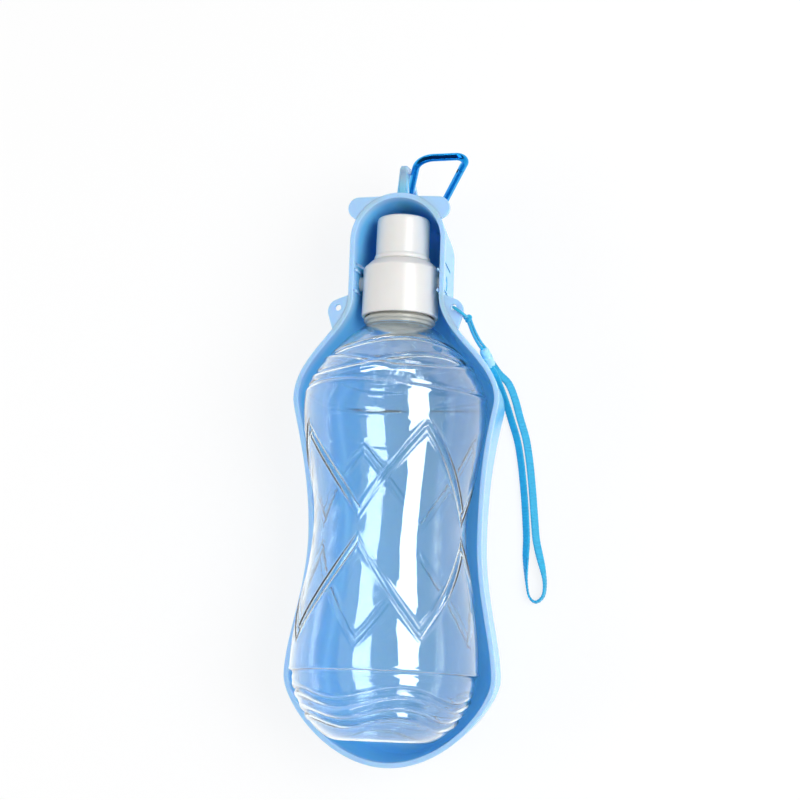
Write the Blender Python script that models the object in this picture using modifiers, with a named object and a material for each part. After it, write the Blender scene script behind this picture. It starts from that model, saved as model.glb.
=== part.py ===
"""Travel water bottle for dogs: a squeeze bottle that lies nested in a drinking trough.

The trough lies on its flat back on z = 0, open side up.  +Y runs from the rounded
tip to the hood and the hanging loop, X runs across, and the hinge axis of the cap
crosses the frame at x = 0, y = 0.
"""
import bmesh
import bpy
import math
from mathutils import Matrix, Vector

MM = 0.001
GAP = 0.3 * MM
WELD = 0.00001

# Bottle, places along its axis measured from the hinge towards the base
NECK_R = 12.5 * MM
NECK_MOUTH = -1.4 * MM
NECK_BORE_WALL = 1.6 * MM
NECK_BEAD_R = 14.4 * MM
NECK_BEAD_POS = 15.0 * MM
NECK_BEAD = 1.5 * MM
NECK_FOOT_R = 13.2 * MM
BOTTLE_SHOULDER_R = 36.6 * MM
BOTTLE_SHOULDER_POS = 50.0 * MM
BOTTLE_WAIST_R = 30.4 * MM
BOTTLE_WAIST_POS = 98.0 * MM
BOTTLE_RING_R = 37.0 * MM
BOTTLE_RING_POS = 154.0 * MM
BOTTLE_BASE_R = 16.8 * MM
BOTTLE_BASE_POS = 182.0 * MM
BASE_PUSH_UP = 4.0 * MM
BOTTLE_WALL = 1.1 * MM
BOTTLE_RISE = math.radians(2.46)
WASHER_THICK = 1.7 * MM
WASHER_HOLE_R = 8.0 * MM

# Zigzag grooves pressed into the bottle: start and end along the axis
ZIGZAG_COUNT = 4
ZIGZAG_PEAK = math.radians(33.0)
ZIGZAG_UPPER = (62.0 * MM, 95.0 * MM)
ZIGZAG_LOWER = (142.0 * MM, 106.5 * MM)
GROOVE_TOOL_R = 1.5 * MM
GROOVE_DEPTH = 0.5 * MM

# Cap, places along the bottle's axis measured from the hinge
THREAD_ROOM = 1.5 * MM
CAP_SKIRT = 1.36 * MM
CAP_BORE_R = NECK_R + THREAD_ROOM
CAP_R = CAP_BORE_R + CAP_SKIRT
CAP_MOUTH = 14.1 * MM
CAP_SHOULDER = -5.4 * MM
CAP_TOP = -8.6 * MM
CAP_TOP_R = CAP_R - 3.16 * MM
CAP_CEILING = -4.2 * MM
SPOUT_R = 9.0 * MM
SPOUT_BORE_R = 7.0 * MM
SPOUT_END = -23.0 * MM
SPOUT_FLOOR = 2.0 * MM
PORT_R = 1.4 * MM
PORT_RING_R = 4.7 * MM
PORT_COUNT = 4
POST_R = 2.6 * MM
POST_END = -26.3 * MM
ORING_POS = -19.0 * MM
ORING_R = SPOUT_R - 0.28 * MM
ORING_THICK_R = 0.42 * MM
ORING_GROOVE = 0.95 * MM

# Push-pull sleeve
SLEEVE_ROOM = 0.38 * MM
SLEEVE_WALL = 1.4 * MM
SLEEVE_R = SPOUT_R + SLEEVE_ROOM + SLEEVE_WALL
SLEEVE_END = -26.8 * MM
SLEEVE_FACE = 1.5 * MM
SLEEVE_EDGE_R = 1.8 * MM
SLEEVE_COLLAR_R = SLEEVE_R + 0.52 * MM
SLEEVE_COLLAR = 1.5 * MM

# Trough outline, seen from above: it follows the cap and the bottle at a set room
TROUGH_WALL = 2.1 * MM
CAP_ROOM = 2.04 * MM
SHOULDER_ROOM = 3.2 * MM
WAIST_ROOM = 2.9 * MM
FLARE_ROOM = 3.7 * MM
HOOD_HALF = CAP_R + CAP_ROOM + TROUGH_WALL
HOOD_END_Y = 35.5 * MM
HOOD_FOOT_Y = -6.0 * MM
SHOULDER_HALF = BOTTLE_SHOULDER_R + SHOULDER_ROOM + TROUGH_WALL
SHOULDER_Y = -47.0 * MM
WAIST_HALF = BOTTLE_WAIST_R + WAIST_ROOM + TROUGH_WALL
WAIST_Y = -102.0 * MM
FLARE_HALF = BOTTLE_RING_R + FLARE_ROOM + TROUGH_WALL
FLARE_Y = -157.0 * MM
TIP_Y = -192.2 * MM
DRAFT = math.radians(5.0)
BILGE_R = 9.0 * MM

# Hinge between the cap and the hood, as high as lets the bottle lie just over the floor
BOTTLE_SEAT = 0.88 * MM
SHOULDER_SEAT = BOTTLE_SHOULDER_R * math.cos(BOTTLE_RISE) - BOTTLE_SHOULDER_POS * math.sin(BOTTLE_RISE)
RING_SEAT = BOTTLE_RING_R * math.cos(BOTTLE_RISE) - BOTTLE_RING_POS * math.sin(BOTTLE_RISE)
PIVOT_Z = TROUGH_WALL + BOTTLE_SEAT + max(SHOULDER_SEAT, RING_SEAT)
TRUNNION_R = 2.8 * MM
TRUNNION_RECESS = 0.6 * MM
CLIP_SLOT_WIDTH = 1.0 * MM
CLIP_SLOT_OFFSET = 5.6 * MM
CLIP_SLOT_DEPTH = 22.0 * MM
CLIP_RIB_HEIGHT = 0.5 * MM
CLIP_RIB_WIDTH = 1.1 * MM
CLIP_RIB_OFFSET = 4.2 * MM

# Heights of the trough's rim
HINGE_DEPTH = 10.1 * MM
RIM_HOOD_Z = PIVOT_Z + HINGE_DEPTH
RIM_HOOD_END_Y = -18.0 * MM
RIM_SHOULDER_Z = RIM_HOOD_Z - 5.7 * MM
RIM_WAIST_Z = RIM_HOOD_Z - 13.4 * MM
RIM_FLARE_Z = RIM_HOOD_Z - 11.6 * MM

# Ears, lanyard tabs and hanging loop
FLANGE_THICK = 2.2 * MM
EAR_R = 4.5 * MM
EAR_X = HOOD_HALF - 3.3 * MM
EAR_Y = 29.2 * MM
TAB_R = 4.9 * MM
TAB_X = HOOD_HALF + 3.1 * MM
TAB_Y = -12.6 * MM
TAB_HOLE_R = 1.3 * MM
TAB_HOLE_X = HOOD_HALF + 3.9 * MM
TAB_HOLE_Y = -11.2 * MM
LUG_WEB = 2.6 * MM
LUG_REACH = 13.7 * MM
LUG_TIP_Y = HOOD_END_Y + LUG_REACH
LUG_ROOT = 6.0 * MM
LUG_FOOT_WIDTH = 5.8 * MM
LUG_PLATE = 3.0 * MM
LUG_PLATE_SINK = 1.0 * MM
LUG_LOWERED = 5.6 * MM
LUG_TOP_Z = RIM_HOOD_Z - LUG_LOWERED

# The loop's outline and window: (back from its tip, down from its top) in millimetres
LUG_OUTLINE = [(2.6, 1.1), (0.7, 2.6), (-0.1, 12.4), (5.6, 23.6), (10.6, 32.9)]
LUG_ROOT_DOWN = 37.0 * MM
LUG_WINDOW = [(1.5, 11.0), (2.6, 8.6), (12.4, 4.6), (13.2, 26.2), (10.3, 28.2)]

# Carabiner, a rod bent to a D that narrows towards its hinge end
ROD_R = 1.55 * MM
HOOK_SIDE = 6.3 * MM
HOOK_PROUD = 1.4 * MM
HOOK_LIFT = 0.7 * MM
HOOK_CORNER = Vector((HOOK_SIDE, LUG_TIP_Y + HOOK_PROUD, LUG_TOP_Z + HOOK_LIFT))
HOOK_SPINE = Vector((-0.30, -0.40, -0.865)).normalized()
HOOK_ACROSS = Vector((0.967, 0.042, -0.252))
HOOK_TOP_WIDTH = 20.0 * MM
HOOK_FOOT_WIDTH = 12.5 * MM
HOOK_LENGTH = 43.0 * MM
HOOK_TOP_RISE = 3.4 * MM
HOOK_SPINE_BEND = 7.5 * MM
HOOK_NOSE_BEND = 3.6 * MM
HOOK_FOOT_BEND = 4.6 * MM
NOSE_LENGTH = 5.0 * MM
HINGE_STUB = 5.5 * MM
GATE_SLOT = 1.3 * MM
TONGUE = 0.9 * MM
TONGUE_LENGTH = 2.2 * MM
GATE_PIN_R = 0.45 * MM
PIN_PLAY = 0.06 * MM
SPRING_R = 0.75 * MM
SPRING_WIRE_R = 0.15 * MM
SPRING_TURNS = 6
SPRING_LENGTH = 7.0 * MM

# Lanyard: its knots and routes are in millimetres from the tab's hole, with z over the table
CORD_R = 0.65 * MM
TWIN_R = 1.0 * MM
STRAP_R = 1.5 * MM
KNOT_R = 1.9 * MM
KNOT_AT = (4.9, -3.47)
KNOT_UNDER_RIM = 6.3 * MM
COUPLING_R = 2.3 * MM
COUPLING_NOSE = 1.2 * MM
COUPLING_HIGH = (7.5, -11.6, 17.6)
COUPLING_LOW = (9.2, -17.2, 9.2)
EYE_WAY = (0.816, -0.578)

# The eye's points are (out along EYE_WAY, over the rim); the cord's have their share of the drop
EYE_ROUTE = [
    (5.5, -4.1), (5.75, -2.6), (5.8, -1.1), (4.95, 0.9), (2.9, 1.8), (0.85, 0.9),
    (0.0, -1.1), (0.3, -3.1), (1.4, -4.6), (3.0, -5.4), (4.0, -5.4),
]
TWIN_ROUTE = [
    (5.05, -3.9, 0.9025), (5.2, -4.7, 0.8008), (5.5, -6.8, 0.5678),
    (6.0, -8.7, 0.3347), (6.7, -10.4, 0.1229), (7.43, -11.4, 0.0148),
]
STRAP_ROUTE = [
    (9.3, -16.1, 8.0), (10.3, -17.7, 4.9), (12.2, -20.2, 2.5), (15.8, -23.8, 1.6),
    (18.6, -30.0, 1.6), (21.1, -38.4, 1.6), (23.7, -46.7, 1.6), (25.3, -55.1, 1.6),
    (26.4, -63.4, 1.6), (27.3, -71.6, 1.6), (28.1, -79.8, 1.6), (29.0, -88.0, 1.6),
    (30.4, -94.3, 1.6), (32.0, -100.3, 1.6), (33.0, -106.1, 1.6), (32.4, -111.2, 1.6),
    (29.5, -113.7, 1.6), (26.8, -111.7, 1.6), (25.6, -106.8, 1.6), (25.1, -101.3, 1.6),
    (24.9, -94.8, 1.6), (25.0, -88.2, 1.6), (24.5, -80.2, 1.6), (23.8, -72.0, 1.6),
    (22.9, -64.0, 1.6), (21.8, -55.9, 1.6), (20.2, -47.7, 1.6), (17.6, -39.6, 1.6),
    (15.2, -32.4, 1.6), (13.0, -26.4, 2.8), (11.6, -22.7, 5.8), (10.5, -20.2, 8.5),
    (9.6, -19.0, 9.9),
]

SWEEP_STEPS = 48


def material(name, colour, roughness, metallic=0.0, transmission=0.0):
    mat = bpy.data.materials.new(name)
    mat.use_nodes = True
    mat.diffuse_color = (*colour, 1.0)
    shader = mat.node_tree.nodes["Principled BSDF"]
    shader.inputs["Base Color"].default_value = (*colour, 1.0)
    shader.inputs["Roughness"].default_value = roughness
    shader.inputs["Metallic"].default_value = metallic
    shader.inputs["Transmission Weight"].default_value = transmission
    return mat


def clear_scene():
    for obj in list(bpy.data.objects):
        bpy.data.objects.remove(obj, do_unlink=True)


def collection(name, guides=False):
    group = bpy.data.collections.new(name)
    bpy.context.scene.collection.children.link(group)
    group.hide_render = guides
    return group


def put(mesh, name, group, mat=None, matrix=None):
    obj = bpy.data.objects.new(name, mesh)
    group.objects.link(obj)
    if mat is not None:
        mesh.materials.append(mat)
    if matrix is not None:
        obj.matrix_world = matrix
    if group is GUIDES:
        obj.hide_render = True
        obj.display_type = "WIRE"
    return obj


def mesh_from(bm, name, smooth_angle=40.0):
    mesh = bpy.data.meshes.new(name)
    bm.to_mesh(mesh)
    bm.free()
    mesh.shade_smooth()
    mesh.set_sharp_from_angle(angle=math.radians(smooth_angle))
    return mesh


def turned(name, profile, group, mat=None, matrix=None, steps=SWEEP_STEPS):
    """Turns (radius, height) points round local Z.

    A profile that starts and ends on the axis stays open; any other is a closed loop
    that runs down its outer side and back up its inner side.
    """
    mesh = bpy.data.meshes.new(name)
    points = [(r, 0.0, z) for r, z in profile]
    edges = [(i, i + 1) for i in range(len(points) - 1)]
    if profile[0][0] > 0.0:
        edges.append((len(points) - 1, 0))
    mesh.from_pydata(points, edges, [])
    obj = put(mesh, name, group, mat, matrix)
    screw = obj.modifiers.new("turn", "SCREW")
    screw.axis = "Z"
    screw.steps = steps
    screw.render_steps = steps
    screw.use_merge_vertices = True
    screw.merge_threshold = WELD
    screw.use_smooth_shade = True
    return obj


def cylinder(name, radius, length, group, matrix, mat=None, sides=24):
    bm = bmesh.new()
    bmesh.ops.create_cone(
        bm, cap_ends=True, segments=sides, radius1=radius, radius2=radius, depth=length
    )
    return put(mesh_from(bm, name), name, group, mat, matrix)


def box(name, size, group, matrix, mat=None):
    bm = bmesh.new()
    bmesh.ops.create_cube(bm, size=1.0)
    bmesh.ops.scale(bm, vec=size, verts=bm.verts)
    return put(mesh_from(bm, name), name, group, mat, matrix)


def boolean(obj, tool, operation):
    mod = obj.modifiers.new(f"{operation.lower()} {tool.name}", "BOOLEAN")
    mod.operation = operation
    mod.solver = "EXACT"
    mod.object = tool
    return mod


def baked(curve_obj, group, mat=None):
    """Replaces a curve object by the welded mesh of its surface."""
    bpy.context.view_layer.update()
    graph = bpy.context.evaluated_depsgraph_get()
    mesh = bpy.data.meshes.new_from_object(curve_obj.evaluated_get(graph))
    bm = bmesh.new()
    bm.from_mesh(mesh)
    bmesh.ops.remove_doubles(bm, verts=bm.verts, dist=WELD)
    bm.to_mesh(mesh)
    bm.free()
    mesh.materials.clear()
    matrix = curve_obj.matrix_world.copy()
    name = curve_obj.name
    bpy.data.objects.remove(curve_obj, do_unlink=True)
    return put(mesh, name, group, mat, matrix)


def outline_plate(name, loops, thickness, group, matrix):
    """A flat plate from closed loops of (x, y) points: an outer one, then holes."""
    curve = bpy.data.curves.new(name, "CURVE")
    curve.dimensions = "2D"
    curve.fill_mode = "BOTH"
    curve.extrude = thickness / 2
    for loop in loops:
        spline = curve.splines.new("POLY")
        spline.points.add(len(loop) - 1)
        for point, (x, y) in zip(spline.points, loop):
            point.co = (x, y, 0.0, 1.0)
        spline.use_cyclic_u = True
    obj = put(curve, name, group, None, matrix)
    return baked(obj, group)


def rod(name, points, radius, group, mat=None, matrix=None):
    curve = bpy.data.curves.new(name, "CURVE")
    curve.dimensions = "3D"
    curve.bevel_depth = radius
    curve.bevel_resolution = 2
    curve.use_fill_caps = True
    spline = curve.splines.new("POLY")
    spline.points.add(len(points) - 1)
    for point, co in zip(spline.points, points):
        point.co = (*co, 1.0)
    obj = put(curve, name, group, mat, matrix)
    return obj


def arc(centre, radius, start, end, steps):
    return [
        (
            centre[0] + radius * math.cos(start + (end - start) * i / steps),
            centre[1] + radius * math.sin(start + (end - start) * i / steps),
        )
        for i in range(steps + 1)
    ]


def bezier(p0, p1, p2, p3, steps):
    out = []
    for i in range(1, steps + 1):
        t = i / steps
        k = ((1 - t) ** 3, 3 * t * (1 - t) ** 2, 3 * t * t * (1 - t), t ** 3)
        out.append(tuple(sum(w * p[j] for w, p in zip(k, (p0, p1, p2, p3))) for j in (0, 1)))
    return out


def smooth_route(knots, count):
    """Points read at even steps from a smooth curve through the knots."""
    first = knots[0] * 2 - knots[1]
    last = knots[-1] * 2 - knots[-2]
    chain = [first, *knots, last]
    fine = []
    for a, b, c, d in zip(chain, chain[1:], chain[2:], chain[3:]):
        for i in range(24):
            t = i / 24
            fine.append(
                0.5
                * (
                    2 * b
                    + (c - a) * t
                    + (2 * a - 5 * b + 4 * c - d) * t * t
                    + (3 * b - a - 3 * c + d) * t ** 3
                )
            )
    fine.append(knots[-1])
    run = [0.0]
    for a, b in zip(fine, fine[1:]):
        run.append(run[-1] + (b - a).length)
    out = []
    j = 0
    for i in range(count):
        target = run[-1] * i / (count - 1)
        while j < len(run) - 2 and run[j + 1] < target:
            j += 1
        part = (target - run[j]) / max(run[j + 1] - run[j], 1e-9)
        out.append(fine[j].lerp(fine[j + 1], min(max(part, 0.0), 1.0)))
    return out


def ease(stations, value):
    """Level through (position, height) stations, joined by soft S-curves."""
    if value >= stations[0][0]:
        return stations[0][1]
    for (a, za), (b, zb) in zip(stations, stations[1:]):
        if value >= b:
            t = (a - value) / (a - b)
            return za + (zb - za) * t * t * (3 - 2 * t)
    return stations[-1][1]


def rim_height(y):
    stations = [
        (RIM_HOOD_END_Y, RIM_HOOD_Z),
        (SHOULDER_Y, RIM_SHOULDER_Z),
        (WAIST_Y, RIM_WAIST_Z),
        (FLARE_Y, RIM_FLARE_Z),
    ]
    return ease(stations, y)


def half_outline():
    """The +X half of the rim's outer edge, from the hood's end round to the tip."""
    centre_y = HOOD_END_Y - HOOD_HALF
    points = arc((0.0, centre_y), HOOD_HALF, math.pi / 2, 0.0, 9)
    for i in (1, 2):
        points.append((HOOD_HALF, centre_y + (HOOD_FOOT_Y - centre_y) * i / 2))
    rise = SHOULDER_Y - HOOD_FOOT_Y
    points += bezier(
        (HOOD_HALF, HOOD_FOOT_Y),
        (HOOD_HALF, HOOD_FOOT_Y + rise * 0.37),
        (SHOULDER_HALF, SHOULDER_Y - rise * 0.41),
        (SHOULDER_HALF, SHOULDER_Y),
        8,
    )
    fall = WAIST_Y - SHOULDER_Y
    points += bezier(
        (SHOULDER_HALF, SHOULDER_Y),
        (SHOULDER_HALF, SHOULDER_Y + fall * 0.1),
        (WAIST_HALF, WAIST_Y - fall * 0.6),
        (WAIST_HALF, WAIST_Y),
        7,
    )
    swell = FLARE_Y - WAIST_Y
    points += bezier(
        (WAIST_HALF, WAIST_Y),
        (WAIST_HALF, WAIST_Y + swell * 0.4),
        (FLARE_HALF, FLARE_Y - swell * 0.26),
        (FLARE_HALF, FLARE_Y),
        7,
    )
    close = TIP_Y - FLARE_Y
    points += bezier(
        (FLARE_HALF, FLARE_Y),
        (FLARE_HALF, FLARE_Y + close * 0.31),
        (FLARE_HALF * 0.56, TIP_Y),
        (0.0, TIP_Y),
        9,
    )
    return points


def outline_normals(points):
    """Unit vectors pointing into the trough at each point of the half outline."""
    normals = []
    for i, point in enumerate(points):
        before = points[i - 1] if i else (-points[1][0], points[1][1])
        after = points[i + 1] if i + 1 < len(points) else (-points[i - 1][0], points[i - 1][1])
        along = Vector((after[0] - before[0], after[1] - before[1])).normalized()
        normals.append(Vector((along.y, -along.x)))
    return normals


def wall_sections(inset, lowest):
    """(inward shift, height) pairs down the wall for one rim height."""

    def at(rim_z):
        straight = rim_z - lowest - BILGE_R
        rows = [(inset + straight * t * math.tan(DRAFT), rim_z - straight * t) for t in (0.0, 0.5, 1.0)]
        foot = rows[-1][0]
        for k in (1, 2, 3, 4):
            turn = k * math.pi / 8
            rows.append((foot + BILGE_R * (1 - math.cos(turn)), lowest + BILGE_R * (1 - math.sin(turn))))
        return rows

    return at


def lofted_half(name, group, inset=0.0, lowest=0.0, raised=None):
    """Half of the trough's outer skin, open at the rim and at the middle plane.

    With a raised level, the skin also goes up to it and is closed there.
    """
    points = half_outline()
    normals = outline_normals(points)
    sections = wall_sections(inset, lowest)
    bm = bmesh.new()
    columns = []
    for (x, y), inward in zip(points, normals):
        rows = sections(rim_height(y))
        if raised is not None:
            rows = [(inset, raised)] + rows
        column = []
        for shift, z in rows:
            px = max(x + inward.x * shift, 0.0)
            if abs(x) < WELD:
                px = 0.0
            column.append(bm.verts.new((px, y + inward.y * shift, z)))
        columns.append(column)
    for left, right in zip(columns, columns[1:]):
        for k in range(len(left) - 1):
            bm.faces.new((left[k], right[k], right[k + 1], left[k + 1]))
    bm.faces.new([column[-1] for column in reversed(columns)])
    if raised is not None:
        bm.faces.new([column[0] for column in columns])
    bmesh.ops.recalc_face_normals(bm, faces=bm.faces)
    mesh = mesh_from(bm, name, 50.0)
    return put(mesh, name, group)


def mirrored(obj):
    mirror = obj.modifiers.new("other half", "MIRROR")
    mirror.use_axis = (True, False, False)
    mirror.use_clip = True
    mirror.merge_threshold = WELD * 5
    return mirror


def at(x, y, z):
    return Matrix.Translation((x, y, z))


def inner_space():
    """The room inside the trough, a little larger than it, to trim what is added outside."""
    room = lofted_half("inner space", GUIDES, TROUGH_WALL * 0.6, TROUGH_WALL * 0.6, RIM_HOOD_Z + 10 * MM)
    mirrored(room)
    return room


def side_lobes(room):
    """Ears and lanyard tabs: flat lobes level with the hood's rim."""
    lobes = []
    middle = RIM_HOOD_Z - FLANGE_THICK / 2
    for side, tag in ((1, "right"), (-1, "left")):
        for kind, radius, x, y in (("ear", EAR_R, EAR_X, EAR_Y), ("tab", TAB_R, TAB_X, TAB_Y)):
            name = f"{tag} {kind}"
            lobe = cylinder(name, radius, FLANGE_THICK, GUIDES, at(side * x, y, middle), sides=28)
            boolean(lobe, room, "DIFFERENCE")
            lobes.append(lobe)
    return lobes


def hanging_loop(room):
    """Triangular loop on the hood's end, with its window open along X."""
    root = HOOD_END_Y - LUG_ROOT
    outer = [(root, LUG_TOP_Z)]
    outer += [(LUG_TIP_Y - back * MM, LUG_TOP_Z - down * MM) for back, down in LUG_OUTLINE]
    outer.append((root, LUG_TOP_Z - LUG_ROOT_DOWN))
    window = [(LUG_TIP_Y - back * MM, LUG_TOP_Z - down * MM) for back, down in LUG_WINDOW]
    stand = Matrix(((0, 0, 1, 0), (1, 0, 0, 0), (0, 1, 0, 0), (0, 0, 0, 1)))
    web = outline_plate("loop web", [outer, window], LUG_WEB, GUIDES, stand)
    foot = LUG_FOOT_WIDTH / 2
    tip = LUG_WEB / 2 + 0.05 * MM
    end = LUG_TIP_Y - 1.8 * MM
    plan = [(-foot, root), (-tip, end), (tip, end), (foot, root)]
    level = LUG_TOP_Z - LUG_PLATE_SINK - LUG_PLATE / 2
    plate = outline_plate("loop plate", [plan], LUG_PLATE, GUIDES, at(0, 0, level))
    for piece in (web, plate):
        boolean(piece, room, "DIFFERENCE")
    return [web, plate]


def clip_details():
    """Ribs that guide the trunnions, and slots that let the hood's sides flex."""
    ribs = []
    cuts = []
    wall_x = HOOD_HALF - (RIM_HOOD_Z - PIVOT_Z) * math.tan(DRAFT)
    rib_top = RIM_HOOD_Z - 0.6 * MM
    rib_low = PIVOT_Z - TRUNNION_R
    lean = Matrix.Rotation(DRAFT, 4, "Y")
    for side in (1, -1):
        tilt = lean if side > 0 else lean.inverted()
        for step in (1, -1):
            high = rib_top - rib_low
            mid = (rib_top + rib_low) / 2
            x = HOOD_HALF - (RIM_HOOD_Z - mid) * math.tan(DRAFT) - TROUGH_WALL
            place = at(side * x, step * CLIP_RIB_OFFSET, mid) @ tilt
            size = (CLIP_RIB_HEIGHT * 2, CLIP_RIB_WIDTH, high)
            ribs.append(box(f"clip rib {side} {step}", size, GUIDES, place))
            slot_mid = RIM_HOOD_Z - FLANGE_THICK - CLIP_SLOT_DEPTH / 2
            place = at(side * wall_x, step * CLIP_SLOT_OFFSET + 1.5 * MM, slot_mid)
            size = (TROUGH_WALL * 4, CLIP_SLOT_WIDTH, CLIP_SLOT_DEPTH)
            cuts.append(box(f"clip slot {side} {step}", size, GUIDES, place))
    turn = Matrix.Rotation(math.pi / 2, 4, "Y")
    place = at(0, 0, PIVOT_Z) @ turn
    cuts.append(cylinder("trunnion holes", TRUNNION_R + GAP, HOOD_HALF * 3, GUIDES, place))
    for side in (1, -1):
        place = at(side * TAB_HOLE_X, TAB_HOLE_Y, RIM_HOOD_Z)
        cuts.append(cylinder(f"tab hole {side}", TAB_HOLE_R, 8 * MM, GUIDES, place, sides=16))
    return ribs, cuts


def trough(mat):
    shell = lofted_half("trough", PARTS)
    shell.data.materials.append(mat)
    mirrored(shell)
    solid = shell.modifiers.new("wall", "SOLIDIFY")
    solid.thickness = TROUGH_WALL
    solid.offset = -1.0
    solid.use_even_offset = True
    room = inner_space()
    ribs, cuts = clip_details()
    for extra in side_lobes(room) + hanging_loop(room) + ribs:
        boolean(shell, extra, "UNION")
    for cut in cuts:
        boolean(shell, cut, "DIFFERENCE")
    return shell


def bottle_frame():
    """Local Z runs from the hinge to the bottle's base, local Y points up."""
    return at(0, 0, PIVOT_Z) @ Matrix.Rotation(math.pi / 2 - BOTTLE_RISE, 4, "X")


def body_radius(position):
    """Outer radius of the bottle's body at a distance from the hinge."""
    stations = [
        (BOTTLE_SHOULDER_POS, BOTTLE_SHOULDER_R),
        (BOTTLE_WAIST_POS, BOTTLE_WAIST_R),
        (BOTTLE_RING_POS, BOTTLE_RING_R),
    ]
    if position <= stations[0][0]:
        return stations[0][1]
    for (a, ra), (b, rb) in zip(stations, stations[1:]):
        if position <= b:
            t = (position - a) / (b - a)
            return ra + (rb - ra) * t * t * (3 - 2 * t)
    return stations[-1][1]


def bottle_side(shrink):
    """Profile from the base's edge to the neck, set in by a wall."""
    base_edge = bezier(
        (BOTTLE_BASE_R, BOTTLE_BASE_POS),
        (BOTTLE_BASE_R + 7 * MM, BOTTLE_BASE_POS),
        (BOTTLE_RING_R - 2.5 * MM, BOTTLE_RING_POS + 16 * MM),
        (BOTTLE_RING_R - 1.0 * MM, BOTTLE_RING_POS + 3.5 * MM),
        8,
    )
    side = [(BOTTLE_BASE_R, BOTTLE_BASE_POS)] + base_edge
    side.append((BOTTLE_RING_R, BOTTLE_RING_POS + 1.8 * MM))
    rows = 13
    for i in range(rows + 1):
        pos = BOTTLE_RING_POS + (BOTTLE_SHOULDER_POS - BOTTLE_RING_POS) * i / rows
        side.append((body_radius(pos), pos))
    neck_foot = NECK_BEAD_POS + NECK_BEAD + 1.2 * MM
    side += bezier(
        (BOTTLE_SHOULDER_R, BOTTLE_SHOULDER_POS),
        (BOTTLE_SHOULDER_R, BOTTLE_SHOULDER_POS - 13 * MM),
        (NECK_FOOT_R + 5.5 * MM, neck_foot + 3.5 * MM),
        (NECK_FOOT_R, neck_foot),
        8,
    )
    if not shrink:
        return side
    out = []
    for i, (r, z) in enumerate(side):
        before = side[max(i - 1, 0)]
        after = side[min(i + 1, len(side) - 1)]
        along = Vector((after[0] - before[0], after[1] - before[1])).normalized()
        out.append((r + along.y * shrink, z - along.x * shrink))
    return out


def zigzag(name, span, frame):
    """Tool for one ring of grooves that runs to and fro between two heights."""
    start, end = span
    legs = ZIGZAG_COUNT * 2
    per_leg = 7
    points = []
    for i in range(legs * per_leg):
        turn = ZIGZAG_PEAK + math.tau * i / (legs * per_leg)
        t = (i % (2 * per_leg)) / per_leg
        t = t if t <= 1 else 2 - t
        pos = start + (end - start) * t
        r = body_radius(pos) + GROOVE_TOOL_R - GROOVE_DEPTH
        points.append((r * math.sin(turn), r * math.cos(turn), pos))
    obj = rod(name, points, GROOVE_TOOL_R, GUIDES, None, frame)
    obj.data.splines[0].use_cyclic_u = True
    return baked(obj, GUIDES)


def bottle(mat):
    frame = bottle_frame()
    profile = [(0.0, BOTTLE_BASE_POS - BASE_PUSH_UP), (BOTTLE_BASE_R * 0.72, BOTTLE_BASE_POS - 1.2 * MM)]
    profile += bottle_side(0.0)
    bead_low = NECK_BEAD_POS + NECK_BEAD
    profile += [
        (NECK_FOOT_R, bead_low),
        (NECK_BEAD_R, bead_low - 0.3 * MM),
        (NECK_BEAD_R, NECK_BEAD_POS),
        (NECK_R, NECK_BEAD_POS - 0.4 * MM),
        (NECK_R, NECK_MOUTH),
        (0.0, NECK_MOUTH),
    ]
    body = turned("bottle", profile, PARTS, mat, frame, 48)
    inside = [(0.0, BOTTLE_BASE_POS - BASE_PUSH_UP - BOTTLE_WALL)]
    inside.append((BOTTLE_BASE_R * 0.72, BOTTLE_BASE_POS - 1.2 * MM - BOTTLE_WALL))
    inside += bottle_side(BOTTLE_WALL)
    bore = NECK_R - NECK_BORE_WALL
    inside += [(bore, NECK_BEAD_POS), (bore, NECK_MOUTH - 5 * MM), (0.0, NECK_MOUTH - 5 * MM)]
    hollow = turned("bottle hollow", inside, GUIDES, None, frame, 32)
    boolean(body, zigzag("upper zigzag", ZIGZAG_UPPER, frame), "DIFFERENCE")
    boolean(body, zigzag("lower zigzag", ZIGZAG_LOWER, frame), "DIFFERENCE")
    boolean(body, hollow, "DIFFERENCE")
    return body


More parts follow.
